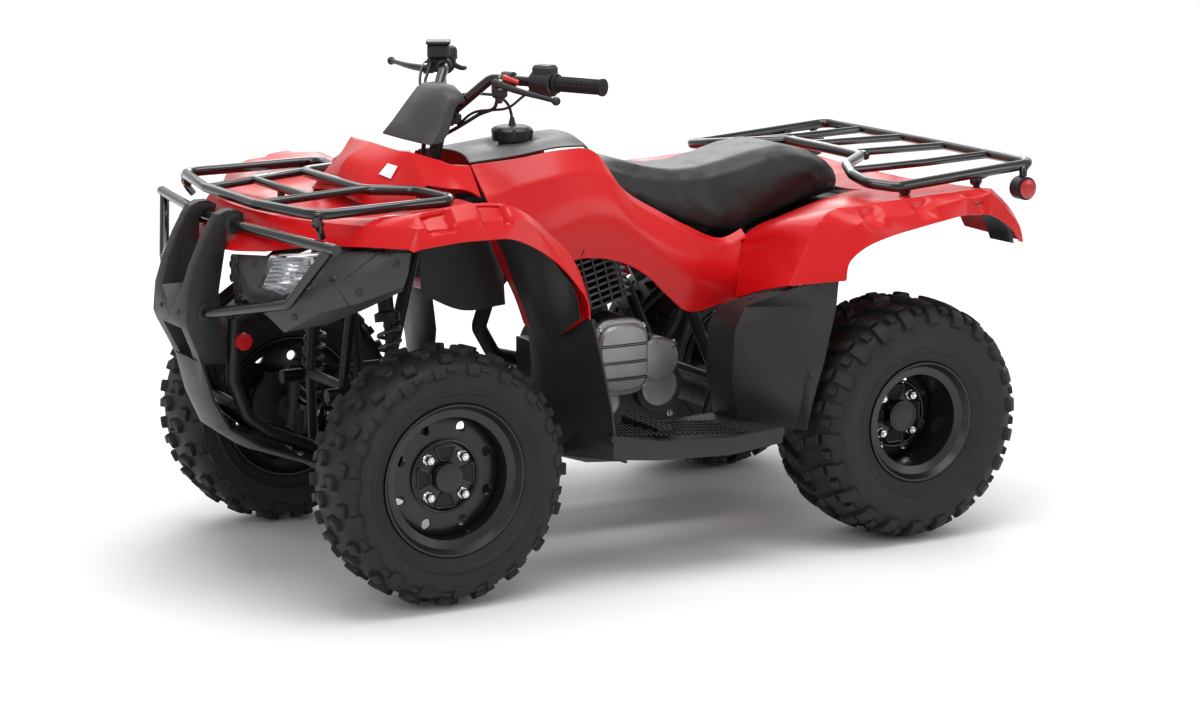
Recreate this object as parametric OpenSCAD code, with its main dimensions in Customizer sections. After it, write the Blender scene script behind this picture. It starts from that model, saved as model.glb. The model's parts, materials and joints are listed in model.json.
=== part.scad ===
// Quad bike with a lengthwise engine, racks and a two-wheel drive.
// X runs forward, Y to the rider's left and Z up; the drawing is centred between the axles
// and each piece is then moved so that the middle of the whole length is at X = 0.

/* [Overall] */
// distance between the two axles
wheelbase = 1130; // [950:1:1360]
// tyre outside radius
tyre_radius = 268; // [225:1:322]
// distance between the middles of the front tyres
front_track = 810; // [790:1:972]
// distance between the middles of the rear tyres
rear_track = 780; // [760:1:936]
// foremost point of the bumper, from the middle of the wheelbase
front_end = 980; // [965:1:1100]
// rearmost point of the rear rack, behind the middle of the wheelbase
rear_end = 921; // [900:1:1000]

/* [Wheels] */
// front tyre width
front_tyre_width = 188; // [157:1:200]
// rear tyre width
rear_tyre_width = 246; // [205:1:295]
// front rim lip radius
front_rim_radius = 157; // [131:1:165]
// rear rim lip radius
rear_rim_radius = 132; // [110:1:158]
// rim bowl wall
rim_wall = 4; // [3:0.1:6]

/* [Running gear] */
// front wheel spindle radius
spindle_radius = 12; // [10:0.1:15]
// solid rear axle radius
axle_radius = 16; // [13:0.1:20]
// steering column radius
column_radius = 14; // [11:0.1:17]
// king pin radius
king_radius = 9; // [7.5:0.1:11]
// gap all round a shaft that turns in its hole
running_gap = 0.05; // [0.02:0.01:0.1]
// gap between pieces that are seated on each other
seat_gap = 0.3; // [0.2:0.05:0.5]

/* [Body] */
// half width over the front fenders
fender_half_width = 490; // [470:1:560]
// handlebar half width
bar_half_width = 358; // [330:1:430]
// body panel thickness
panel = 5; // [4:0.5:6]
// rack and guard tube radius
rack_tube = 11; // [9:0.5:13]
// frame tube radius
frame_tube = 14; // [11.5:0.5:16.5]

/* [Hidden] */
mid = (front_end - rear_end) / 2;
front_x = wheelbase / 2;
rear_x = -wheelbase / 2;
hub_z = tyre_radius;
stretch = wheelbase / 1130;
lift = tyre_radius - 268;
front_y = front_track / 2;
rear_y = rear_track / 2;
sides = 12;

// ---- helpers -------------------------------------------------------------------------------
function unit(v) = v / norm(v);
// a body point at the drawing's own sizes, moved with the wheelbase and the ride height
function place(p) = [p[0] * stretch, p[1], p[2] + lift];
function placed(pts) = [for (p = pts) place(p)];
function flip(p) = [p[0], -p[1], p[2]];
function flipped(pts) = [for (p = pts) flip(p)];
function both(half) = concat(flipped([for (i = [len(half) - 1:-1:1]) half[i]]), half);
module in_frame() translate([-mid, 0, 0]) children();
module pair() {
    children();
    mirror([0, 1, 0]) children();
}
// corner q of a path rounded to radius rb in k steps
function arc(p, q, s, rb, k) =
    let (u = unit(q - p), v = unit(s - q), t = acos(min(1, max(-1, u * v))))
    t < 4 ? [q] :
    let (n = unit(v - (v * u) * u), c = q - rb * tan(t / 2) * u + rb * n)
    [for (j = [0:k]) c + rb * (sin(t * j / k) * u - cos(t * j / k) * n)];
function route(pts, rb, k) = concat([pts[0]],
    [for (i = [1:1:len(pts) - 2]) each arc(pts[i - 1], pts[i], pts[i + 1], rb, k)], [pts[len(pts) - 1]]);
function way(w, i) =
    i == 0 ? unit(w[1] - w[0]) :
    i == len(w) - 1 ? unit(w[i] - w[i - 1]) :
    unit(unit(w[i + 1] - w[i]) + unit(w[i] - w[i - 1]));
function side0(t) = unit(cross(abs(t[2]) < 0.9 ? [0, 0, 1] : [1, 0, 0], t));
function carried(t, i, v) =
    let (q = unit(v - (v * t[i]) * t[i]))
    i == len(t) - 1 ? [q] : concat([q], carried(t, i + 1, q));
function ring(c, t, s, r, n) =
    let (u = cross(t, s))
    [for (k = [0:n - 1]) c + r * (cos(360 * k / n) * s + sin(360 * k / n) * u)];
// the hull of two rings of n points
module span(a, b) {
    n = len(a);
    hull() polyhedron(points = concat(a, b),
        faces = concat([[for (i = [0:n - 1]) i]], [[for (i = [n - 1:-1:0]) n + i]],
            [for (i = [0:n - 1]) [i, n + i, n + (i + 1) % n, (i + 1) % n]]));
}
// a round tube through points, with bends of radius rb
module tube(pts, r, rb = 30, n = sides, k = 3) {
    w = route(placed(pts), rb, k);
    t = [for (i = [0:len(w) - 1]) way(w, i)];
    s = carried(t, 0, side0(t[0]));
    for (i = [0:len(w) - 2]) span(ring(w[i], t[i], s[i], r, n), ring(w[i + 1], t[i + 1], s[i + 1], r, n));
}
// closed rings of points, joined one to the next
module loft(rings) for (i = [0:len(rings) - 2]) span(placed(rings[i]), placed(rings[i + 1]));
// a panel of the given thickness under rows of surface points; t > 0 puts it on the far side
function norm_at(g, i, j) =
    let (r = len(g) - 1, c = len(g[0]) - 1,
        a = g[min(i + 1, r)][j] - g[max(i - 1, 0)][j],
        b = g[i][min(j + 1, c)] - g[i][max(j - 1, 0)])
    unit(cross(a, b));
module skin(rows, t) {
    g = [for (r = rows) placed(r)];
    h = [for (i = [0:len(g) - 1]) [for (j = [0:len(g[0]) - 1]) g[i][j] + t * norm_at(g, i, j)]];
    for (i = [0:len(g) - 2]) for (j = [0:len(g[0]) - 2])
        span([g[i][j], g[i + 1][j], g[i + 1][j + 1], g[i][j + 1]],
            [h[i][j], h[i + 1][j], h[i + 1][j + 1], h[i][j + 1]]);
}
// a box between two corners
module block(a, b) translate(place([min(a[0], b[0]), min(a[1], b[1]), min(a[2], b[2])]))
    cube([abs(b[0] - a[0]), abs(b[1] - a[1]), abs(b[2] - a[2])]);
// turn the z axis of the children to point from p to q, starting at p
module along(p, q) {
    d = q - p;
    translate(p) rotate([0, acos(d[2] / norm(d)), atan2(d[1], d[0])]) children();
}
module rod(p, q, r) along(p, q) cylinder(r = r, h = norm(q - p), $fn = 48);
// children turned so that z points to the left side, at (x, 0, z)
module across(x, z) translate([x, 0, z]) rotate([-90, 0, 0]) children();

// ---- frame and running gear ----------------------------------------------------------------
module frame() {
    pair() {
        tube([[862, 62, 560], [868, 62, 430], [838, 62, 350], [790, 64, 312], [700, 66, 274], [640, 70, 234],
            [420, 78, 222], [120, 118, 208], [-225, 132, 214], [-262, 136, 330], [-190, 138, 500],
            [-60, 128, 640], [60, 100, 735], [300, 78, 745], [560, 100, 690], [690, 100, 655], [862, 62, 560]],
            frame_tube, 40);
        tube([[-60, 128, 640], [-330, 140, 600], [-560, 150, 665], [-800, 150, 690]], frame_tube - 2, 60);
        tube([[-215, 137, 440], [-420, 146, 600], [-500, 148, 645]], frame_tube - 3, 30);
        tube([[628, 72, 226], [628, 84, 400], [600, 100, 675]], frame_tube - 3, 30);
        tube([[514, 76, 224], [514, 84, 400], [534, 100, 690]], frame_tube - 3, 30);
        tube([[-345, 60, 602], [-345, 60, 662]], 8);
    }
    for (c = [[866, 380, 62], [-225, 214, 128], [120, 208, 116], [628, 395, 82], [-260, 330, 135],
        [-800, 690, 150], [-560, 665, 150], [640, 234, 68], [-345, 602, 140]])
        tube([[c[0], -c[2], c[1]], [c[0], c[2], c[1]]], frame_tube - 3);
    tube([[565, -150, 668], [565, 150, 668]], frame_tube - 1);
    tube([[452, -91, 713], [452, 91, 713]], frame_tube - 3);
}
swing_x = -300;
module swingarm() {
    c = [rear_x, 0, hub_z];
    difference() {
        union() {
            translate(c) rotate([90, 0, 0]) cylinder(r = 34, h = 300, center = true, $fn = 48);
            translate([rear_x, 100, hub_z]) rotate([90, 0, 0]) cylinder(r = 80, h = 84, center = true, $fn = 64);
            for (y = [-152, 152]) translate([rear_x, y, hub_z]) rotate([90, 0, 0])
                cylinder(r = 46, h = 16, center = true, $fn = 48);
            rod([rear_x, 92, hub_z], [swing_x * stretch, 76, 272 + lift], 30);
            rod([rear_x, -110, hub_z], [swing_x * stretch, -70, 272 + lift], 24);
            rod(place([-395, -90, 296]), place([-395, 84, 296]), 15);
            translate([swing_x * stretch, 0, 272 + lift]) rotate([90, 0, 0])
                cylinder(r = 30, h = 230, center = true, $fn = 48);
        }
        translate(c) rotate([90, 0, 0]) cylinder(r = axle_radius + running_gap, h = 400, center = true, $fn = 64);
        translate(c) rotate([90, 0, 0]) cylinder(r = axle_radius + 8, h = 220, center = true, $fn = 64);
    }
}
module shock(p, q, r) {
    d = norm(q - p);
    u = unit(q - p);
    rod(p, q, r * 0.42);
    rod(p, p + u * d * 0.34, r * 0.6);
    for (k = [0:5]) along(p + u * (d * 0.2 + k * d * 0.105), q)
        rotate_extrude($fn = 48) translate([r - 6, 0]) circle(r = 6, $fn = 24);
    rod(p + u * d * 0.14, p + u * d * 0.18, r);
    rod(p + u * d * 0.75, p + u * d * 0.97, r);
    rod(p + u * d * 0.17, p + u * d * 0.76, r - 5.5);
}
module rear_shock() shock(place([-395, 0, 311.6]), place([-347, 0, 588]), 33);
module front_shocks() pair() shock([front_x, 250, 226 + lift], [front_x, 146, 650 + lift], 25);
king_low = [front_x - 4, front_y - 62, 188 + lift];
king_high = [front_x - 14, front_y - 78, 346 + lift];
king_way = unit(king_high - king_low);
king_length = norm(king_high - king_low);
module arm(p, front, rear, r) {
    difference() {
        union() {
            rod(front, p, r);
            rod(rear, p, r);
            along(p - king_way * 13, p + king_way) cylinder(r = king_radius + 9, h = 26, $fn = 48);
            rod(front - [24, 0, 0], front + [24, 0, 0], r + 4);
            rod(rear - [24, 0, 0], rear + [24, 0, 0], r + 4);
        }
        along(p - king_way * 40, p + king_way) cylinder(r = king_radius + running_gap, h = 80, $fn = 48);
    }
}
module suspension_arms() pair() {
    arm(king_low, [front_x + 74, 126, 228 + lift], [front_x - 74, 126, 228 + lift], 13);
    arm(king_high, [front_x + 92, 116, 386 + lift], [front_x - 92, 116, 386 + lift], 11);
    rod([front_x - 40, 250, 209 + lift], [front_x + 40, 250, 209 + lift], 11);
}
arm_end = [front_x - 92, front_y - 84, 272 + lift];
module knuckle() {
    along(king_low, king_high) {
        translate([0, 0, -24]) cylinder(r = king_radius, h = king_length + 50, $fn = 48);
        translate([0, 0, 26]) cylinder(r = 20, h = king_length - 41, $fn = 48);
        translate([0, 0, -26]) cylinder(r = king_radius + 4, h = 8, $fn = 48);
        translate([0, 0, king_length + 20]) cylinder(r = king_radius + 4, h = 8, $fn = 48);
    }
    rod([front_x, front_y - 84, hub_z], [front_x, front_y + 32, hub_z], spindle_radius);
    rod([front_x, front_y - 74, hub_z], [front_x, front_y - 40, hub_z], 30);
    rod([front_x, front_y - 41, hub_z], [front_x, front_y - 34, hub_z], 78);
    rod([front_x - 10, front_y - 68, hub_z], arm_end, 10);
    translate(arm_end - [0, 0, 9]) cylinder(r = 16, h = 18, $fn = 48);
}
// ---- steering ------------------------------------------------------------------------------
col_low = place([513, 0, 290]);
col_high = place([346, 0, 940]);
col_way = unit(col_high - col_low);
col_length = norm(col_high - col_low);
col_tilt = atan2(col_low[0] - col_high[0], col_high[2] - col_low[2]);
// children drawn with the column along z from its foot
module on_column() translate(col_low) rotate([0, -col_tilt, 0]) children();
pitman = 61;
pin_y = 24;
module steering_column() on_column() {
    difference() {
        union() {
            translate([0, 0, -24]) cylinder(r = column_radius, h = col_length + 20, $fn = 64);
            translate([0, 0, 8]) hull() {
                cylinder(r = 24, h = 10, $fn = 32);
                for (s = [-1, 1]) translate([-pitman, s * pin_y, 0]) cylinder(r = 15, h = 10, $fn = 32);
            }
            translate([0, 0, col_length - 16]) cylinder(r = 26, h = 12, $fn = 48);
            translate([-18, -50, col_length - 9.5]) cube([36, 100, 12.5]);
        }
        for (s = [-1, 1]) translate([-pitman, s * pin_y, 0])
            cylinder(r = 7 + running_gap, h = 60, $fn = 48);
    }
}
module steering_bearings() on_column() for (b = [[-22, 20, 30, 62], [440, 30, 32, 67]]) difference() {
    union() {
        translate([0, 0, b[0]]) cylinder(r = b[2], h = b[1], $fn = 64);
        translate([-12, -b[3], b[0] + 3]) cube([24, 2 * b[3], b[1] - 6]);
    }
    translate([0, 0, b[0] - 10]) cylinder(r = column_radius + running_gap, h = b[1] + 20, $fn = 64);
}
function to_world(p) = col_low + [p[0] * cos(col_tilt) - p[2] * sin(col_tilt), p[1], p[0] * sin(col_tilt) + p[2] * cos(col_tilt)];
pin_in = to_world([-pitman, pin_y, 0]);
module tie_rod() {
    on_column() {
        translate([-pitman, pin_y, -14]) cylinder(r = 7, h = 40, $fn = 48);
        translate([-pitman, pin_y, -14]) cylinder(r = 15, h = 17, $fn = 48);
        translate([-pitman, pin_y, 20]) cylinder(r = 11, h = 6, $fn = 48);
    }
    tip = arm_end - [0, 0, 31];
    rod(to_world([-pitman, pin_y, -6]), tip, 8);
    translate(tip - [0, 0, 9]) cylinder(r = 14, h = 18, $fn = 48);
}
module handlebar() pair() tube([[347, 0, 955], [347, 46, 955], [287, 112, 1029], [157, bar_half_width, 1027]],
    11, 30);
bar_a = place([287, 112, 1029]);
bar_b = place([157, bar_half_width, 1027]);
bar_way = unit(bar_b - bar_a);
module grips() pair() difference() {
    union() {
        rod(bar_a + bar_way * 164, bar_b + bar_way * 4, 15.5);
        rod(bar_a + bar_way * 164, bar_a + bar_way * 169, 21);
        rod(bar_b - bar_way * 3, bar_b + bar_way * 4, 18.5);
    }
    rod(bar_a, bar_b + bar_way * 0.3, 11 + seat_gap);
}
module handlebar_cover() {
    // open shield in front of the clamp, from the top edge down to the bottom edge
    skin([
        both([[338, 0, 1012], [338, 40, 1011], [336, 70, 998], [334, 86, 982]]),
        both([[366, 0, 1012], [366, 46, 1010], [362, 78, 994], [352, 88, 976]]),
        both([[384, 0, 1002], [382, 52, 1000], [374, 86, 984], [362, 94, 968]]),
        both([[408, 0, 966], [405, 66, 964], [392, 98, 955], [374, 104, 950]]),
        both([[428, 0, 932], [424, 82, 930], [408, 106, 922], [388, 110, 918]]),
        both([[448, 0, 900], [444, 96, 900], [428, 112, 897], [404, 112, 900]]),
    ], -panel);
}
module hand_controls() {
    ahead = [0.887, 0.461, 0];
    perch = bar_a + bar_way * 44;
    lever = perch + ahead * 42 - [0, 0, 8];
    tip = place([250, 328, 1001]);
    far_tip = place([290, -366, 1022]);
    difference() {
        union() {
            // left: lever perch, lever and switch box
            rod(bar_a + bar_way * 28, bar_a + bar_way * 60, 17);
            rod(perch, lever, 11);
            translate(perch + [14, -16, -44]) cube([28, 30, 58]);
            rod(lever, tip, 7);
            translate(tip) sphere(r = 9, $fn = 48);
            rod(bar_a + bar_way * 106, bar_a + bar_way * 158, 25);
            translate(bar_a + bar_way * 118 + [-26, 2, -24]) cube([44, 30, 62]);
            // right: master cylinder, lever and throttle box
            rod(flip(bar_a + bar_way * 28), flip(bar_a + bar_way * 60), 18);
            translate(flip(perch) + [-16, -30, 10]) cube([66, 54, 44]);
            rod(flip(perch), flip(lever), 11);
            rod(flip(lever), far_tip, 7);
            translate(far_tip) sphere(r = 9, $fn = 48);
            rod(flip(bar_a + bar_way * 98), flip(bar_a + bar_way * 150), 28);
        }
        for (s = [0, 1]) mirror([0, s, 0]) rod(bar_a, bar_b + bar_way * 30, 11 + seat_gap);
    }
}
module cables() {
    tube([[294, 148, 984.3], [294, 146, 970], [312, 104, 954], [342, 70, 926], [372, 34, 900], [386, 20, 850],
        [410, 16, 765]], 4, 20, 10);
    tube([[266, -151, 1009.4], [268, -148, 985], [304, -104, 958], [342, -70, 926], [372, -34, 900],
        [386, -20, 850], [410, -16, 765]], 5, 20, 10);
}
// ---- engine --------------------------------------------------------------------------------
module engine_case() {
    difference() {
        union() {
            block([-170, -118, 236], [110, 118, 420]);
            for (x = [-150, 60]) block([x, -138, 227], [x + 40, 138, 240]);
            translate(place([-20, 0, 408])) rotate([90, 0, 0]) cylinder(r = 84, h = 236, center = true, $fn = 64);
            translate(place([-8, 128, 405])) rotate([90, 0, 0]) cylinder(r = 84, h = 30, center = true, $fn = 64);
            translate(place([-112, 124, 330])) rotate([90, 0, 0]) cylinder(r = 58, h = 24, center = true, $fn = 64);
            translate(place([-8, -124, 380])) rotate([90, 0, 0]) cylinder(r = 100, h = 40, center = true, $fn = 64);
            translate(place([6, 0, 482])) rotate([0, 14, 0]) translate([0, 0, -60])
                cylinder(r = 58, h = 82 - seat_gap, $fn = 64);
        }
    }
}
module engine_cylinder() translate(place([6, 0, 482])) rotate([0, 14, 0]) {
    translate([0, 0, 22]) cylinder(r = 46, h = 170, $fn = 64);
    for (k = [0:8]) translate([-82, -92, 30 + 15 * k]) cube([164, 184, 5]);
    translate([-60, -70, 158]) cube([120, 140, 44]);
}
module exhaust() {
    port = [106.9, -10, 638];
    tube([port + seat_gap * [0.97, 0, -0.242], port + 55 * [0.97, 0, -0.242], [205, -60, 540], [205, -116, 450],
        [140, -168, 372], [-20, -178, 330], [-330, -168, 330], [-400, -190, 470], [-470, -205, 505]], 17, 40, 14);
    tube([[-450, -205, 500], [-790, -215, 545]], 56, 30, 20);
    tube([[-780, -215, 544], [-835, -218, 552]], 15, 30, 14);
    tube([[-620, -205, 520], [-620, -170, 600], [-620, -158, 652]], 8, 20, 10);
}
// ---- front of the body ---------------------------------------------------------------------
guard_bar = [[868, 0, 761], [868, 92, 759], [809, 456, 755]];
// height, outer half width, inner half width, front and back of one side of the bumper
function slab(z, o, i, f, b) = [[b, i, z], [b, o, z], [f, o, z], [f, i, z]];
module front_bumper() difference() {
    union() {
        pair() loft([
            slab(790, 88, 58, 884, 862),
            slab(782, 88, 57, 902, 846),
            slab(762, 88, 57, 916, 850),
            slab(757, 88, 57, 918, 884),
            slab(729, 88, 56, 934, 886),
            slab(680, 88, 54, 956, 895),
            slab(624, 90, 50, 974, 906),
            slab(600, 91, 24, 976, 904),
            slab(566, 89, 0, front_end, 906),
            slab(548, 87, 0, 974, 904),
        ]);
        pair() loft([slab(548, 87, 50, 974, 904), slab(500, 77, 42, 952, 886), slab(470, 70, 30, 940, 882)]);
        loft([
            [[920, -52, 550], [920, 52, 550], [930, 52, 550], [930, -52, 550]],
            [[898, -46, 470], [898, 46, 470], [908, 46, 470], [908, -46, 470]],
        ]);
        skin([
            both([[944, 0, 482], [942, 38, 480], [936, 70, 478]]),
            both([[928, 0, 400], [924, 42, 398], [914, 74, 396]]),
            both([[898, 0, 330], [894, 46, 330], [882, 79, 334]]),
            both([[836, 0, 286], [832, 54, 286], [822, 92, 294]]),
            both([[700, 0, 238], [700, 60, 238], [696, 100, 246]]),
            both([[640, 0, 200], [640, 60, 200], [640, 104, 206]]),
            both([[560, 0, 180], [560, 60, 180], [560, 104, 188]]),
        ], 6);
    }
    pair() tube(guard_bar, rack_tube + seat_gap, 26);
}
module brush_guard() pair() {
    tube(guard_bar, rack_tube, 26);
    tube([[813, 430, 750], [857, 330, 632], [936, 104, 584], [937, 93.5, 583]], rack_tube, 30);
}
module front_rack() {
    pair() {
        tube([[606, 0, 821], [606, 157, 821], [512, 200, 818], [480, 338, 814], [801, 347, 808], [837, 131, 805],
            [837, 0, 805]], rack_tube, 34);
        tube([[606, 150, 821], [837, 131, 805]], rack_tube - 2);
        tube([[800, 347, 806], [795, 347, 780], [784, 334, 762]], rack_tube - 3);
        tube([[520, 338, 812], [516, 334, 804]], rack_tube - 3);
    }
    tube([[724, -141, 813], [724, 141, 813]], rack_tube - 2);
    tube([[724, 0, 811], [724, 0, 782]], rack_tube - 3);
}
module rear_rack() {
    pair() {
        tube([[-909, 0, 806], [-909, 413, 804], [-540, 419, 777], [-498, 372, 783], [-505, 300, 792],
            [-545, 215, 802], [-628, 150, 808], [-632, 0, 808]], rack_tube + 1, 30);
        tube([[-904, 255, 805], [-730, 258, 799], [-520, 262, 796]], rack_tube - 2);
        tube([[-904, 85, 805], [-632, 88, 806]], rack_tube - 2);
        tube([[-800, 413, 794], [-772, 394, 778], [-772, 392, 756.3]], rack_tube - 3, 8);
        tube([[-580, 416, 778], [-576, 402, 766], [-576, 400, 753.2]], rack_tube - 3, 6);
        tube([[-893, 413, 802], [-876, 423, 792], [-876, 423, 778.7]], rack_tube - 2, 6);
    }
}
module front_fender() {
    w = fender_half_width - 490;
    // nose and hood, then the raised part ahead of the column
    skin([
        both([[888, 0, 706], [884, 100, 709], [850, 200, 718]]),
        both([[825, 0, 782], [822, 100, 783], [798, 200, 780]]),
        both([[780, 0, 788], [778, 100, 788], [758, 200, 782]]),
        both([[690, 0, 772], [690, 110, 772], [680, 200, 778]]),
        both([[595, 0, 778], [595, 110, 778], [580, 200, 782]]),
        both([[480, 0, 790], [480, 110, 790], [470, 200, 786]]),
    ], panel);
    pair() {
        skin([
            [[850, 199, 718], [778, 292, 735], [720, 370, 741], [678, 440 + w, 744], [662, 474 + w, 746],
                [656, 486 + w, 742]],
            [[798, 199, 780], [740, 292, 778], [694, 370, 779], [652, 440 + w, 784], [640, 475 + w, 784],
                [640, 487 + w, 747]],
            [[758, 199, 782], [716, 292, 784], [670, 370, 790], [620, 448 + w, 806], [608, 475 + w, 789],
                [606, 488 + w, 750]],
            [[680, 199, 778], [650, 292, 782], [600, 370, 796], [560, 450 + w, 816], [560, 476 + w, 790],
                [556, 489 + w, 754]],
            [[580, 199, 782], [560, 292, 788], [520, 370, 804], [490, 454 + w, 822], [494, 476 + w, 793],
                [496, 489 + w, 754]],
            [[470, 199, 786], [466, 292, 794], [452, 370, 806], [440, 454 + w, 816], [432, 476 + w, 790],
                [438, 488 + w, 751]],
            [[400, 199, 786], [410, 292, 790], [405, 370, 796], [396, 454 + w, 796], [394, 475 + w, 778],
                [398, 486 + w, 735]],
            [[352, 205, 716], [350, 292, 716], [350, 370, 722], [338, 454 + w, 748], [345, 475 + w, 728],
                [340, 486 + w, 697]],
            [[316, 210, 636], [316, 292, 636], [314, 370, 640], [290, 454 + w, 701], [297, 475 + w, 671],
                [290, 486 + w, 645]],
            [[288, 214, 575], [290, 292, 575], [294, 370, 580], [262, 454 + w, 650], [268, 475 + w, 635],
                [266, 488 + w, 608]],
            [[268, 216, 524], [270, 292, 524], [272, 370, 528], [252, 454 + w, 574], [256, 475 + w, 580],
                [262, 488 + w, 580]],
        ], panel);
        skin([
            [[604, -1, 800], [602, 110, 788], [580, 150, 780], [548, 186, 776]],
            [[574, -1, 860], [556, 110, 838], [536, 146, 828], [510, 180, 792]],
            [[515, -1, 892], [503, 110, 886], [495, 140, 888], [474, 176, 822]],
            [[458, -1, 868], [448, 96, 866], [430, 140, 866], [424, 180, 812]],
            [[412, -1, 850], [404, 88, 850], [390, 140, 852], [386, 186, 806]],
            [[402, 34, 848], [388, 92, 848], [355, 140, 849], [356, 190, 790]],
        ], panel);
    }
}
lens_front = [[857, 242, 718], [782, 318, 727], [828, 342, 662], [854, 300, 644], [892, 250, 654]];
lens_back = [[813, 227, 716], [738, 303, 725], [784, 327, 660], [810, 285, 642], [848, 235, 652]];
module lamp(grow) {
    c = [824, 290, 684];
    loft([for (r = [lens_back, lens_front]) [for (p = r) p + grow * unit([0, p[1] - c[1], p[2] - c[2]])]]);
}
module front_covers() pair() difference() {
    skin([
        [[880, 104, 702], [846, 200, 710], [776, 292, 727], [718, 370, 733], [674, 438, 736], [645, 452, 736]],
        [[884, 104, 655], [886, 200, 656], [872, 258, 657], [812, 345, 662], [760, 412, 677], [652, 452, 695]],
        [[872, 104, 622], [876, 200, 620], [850, 268, 600], [796, 345, 612], [742, 410, 636], [660, 448, 668]],
        [[846, 104, 600], [848, 205, 584], [836, 258, 560], [768, 330, 585], [715, 390, 620], [655, 430, 656]],
    ], -4);
    lamp(1);
}
module headlights() pair() lamp(0);
module reflectors() pair() rod(place([850, 76.4, 513]), place([850, 84, 513]), 18);
// ---- middle of the body --------------------------------------------------------------------
module tank_cover() {
    skin([
        both([[322, 0, 862], [328, 60, 860], [346, 122, 852]]),
        both([[231, 0, 866], [231, 62, 872], [231, 122, 860]]),
        both([[134, 0, 872], [134, 62, 880], [134, 120, 871]]),
        both([[61, 0, 888], [61, 55, 884], [63, 106, 868]]),
        both([[36, 0, 868], [36, 55, 866], [40, 94, 854]]),
    ], 8);
    translate(place([179, 0, 850])) cylinder(r = 31, h = 27, $fn = 32);
}
module fuel_cap() {
    translate(place([179, 0, 877 + seat_gap])) {
        cylinder(r = 40, h = 26, $fn = 64);
        for (k = [0:7]) rotate([0, 0, 45 * k]) translate([38, 0, 3]) cylinder(r = 9, h = 24, $fn = 32);
        translate([0, 0, 6]) cylinder(r = 36, h = 26, $fn = 48);
    }
    // vent hose to the handlebar clamp
    tube([[179, 0, 900], [181, 0, 945], [215, 0, 978], [270, 0, 984], [306, 0, 984]], 3.5, 22, 10);
}
module side_covers() pair() skin([
    [[348, 130, 850], [342, 188, 786], [314, 222, 700], [296, 222, 640]],
    [[231, 132, 857], [225, 180, 810], [190, 214, 722], [190, 214, 640]],
    [[134, 132, 868], [120, 175, 820], [110, 205, 740], [99, 202, 643]],
    [[61, 130, 864], [40, 165, 812], [34, 200, 738], [26, 200, 628]],
    [[-8, 152, 776], [-14, 170, 755], [-30, 200, 690], [-37, 200, 595]],
    [[-100, 152, 720], [-100, 172, 702], [-98, 203, 640], [-95, 202, 541]],
    [[-166, 154, 685], [-166, 175, 667], [-160, 207, 600], [-133, 206, 509]],
    [[-262, 158, 651], [-268, 175, 640], [-256, 205, 580], [-240, 205, 517]],
], panel);
function seat_ring(x, w, zt, zs, zb) = [[x, -w * 0.55, zt], [x, w * 0.55, zt], [x, w * 0.86, zt - 16],
    [x, w, zs], [x, w * 0.97, zb], [x, -w * 0.97, zb], [x, -w, zs], [x, -w * 0.86, zt - 16]];
module seat() loft([
    seat_ring(6, 96, 850, 818, 806),
    seat_ring(-40, 112, 828, 776, 752),
    seat_ring(-110, 126, 806, 740, 712),
    seat_ring(-180, 136, 795, 718, 686),
    seat_ring(-250, 142, 797, 706, 664),
    seat_ring(-320, 148, 810, 706, 656),
    seat_ring(-390, 152, 826, 726, 682),
    seat_ring(-455, 150, 834, 746, 704),
    seat_ring(-530, 140, 822, 756, 722),
    seat_ring(-606, 112, 792, 756, 734),
]);
module footwell() {
    // guard behind the front tyre, foot tray and the panel ahead of the rear tyre
    skin([
        [[262, 230, 516], [266, 330, 517], [246, 455, 564], [246, 478, 570]],
        [[252, 230, 430], [258, 330, 430], [226, 455, 480], [224, 480, 480]],
        [[262, 230, 330], [262, 330, 330], [206, 460, 380], [204, 484, 380]],
        [[262, 230, 262], [262, 330, 262], [196, 460, 300], [194, 484, 300]],
        [[180, 230, 236], [180, 330, 236], [170, 460, 262], [168, 484, 262]],
    ], panel);
    skin([
        [[262, 230, 306], [260, 330, 306], [212, 440, 318], [206, 486, 322]],
        [[100, 230, 290], [100, 330, 290], [96, 440, 296], [92, 486, 298]],
        [[-80, 230, 276], [-80, 330, 276], [-80, 440, 282], [-80, 486, 286]],
        [[-204, 230, 280], [-204, 330, 280], [-210, 440, 290], [-214, 486, 294]],
    ], 14);
    // edge of the tray
    skin([
        [[204, 487, 321], [202, 484, 270]],
        [[92, 487, 297], [90, 484, 256]],
        [[-80, 487, 285], [-80, 484, 248]],
        [[-214, 487, 293], [-212, 484, 260]],
    ], panel);
    skin([
        [[-196, 230, 270], [-200, 330, 270], [-268, 446, 276], [-276, 474, 278]],
        [[-176, 230, 370], [-180, 330, 370], [-284, 446, 340], [-292, 474, 336]],
        [[-180, 230, 478], [-186, 330, 478], [-300, 446, 430], [-322, 474, 424]],
        [[-200, 230, 514], [-212, 330, 530], [-300, 446, 540], [-350, 476, 540]],
        [[-238, 230, 526], [-240, 330, 556], [-262, 446, 584], [-352, 482, 606]],
    ], panel);
}
module footwell_left() footwell();
module footwell_right() mirror([0, 1, 0]) footwell();
module foot_controls() {
    pair() translate(place([40, 292, 296.2])) cube([34, 158, 18]);
    tube([[96, 118.4, 300], [96, 150, 300], [140, 168, 318], [172, 210, 334], [176, 262, 338]], 7, 14, 10);
    tube([[60, -118.4, 290], [60, -146, 290], [150, -172, 318], [190, -230, 344], [190, -290, 350]], 8, 14, 10);
}
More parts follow.
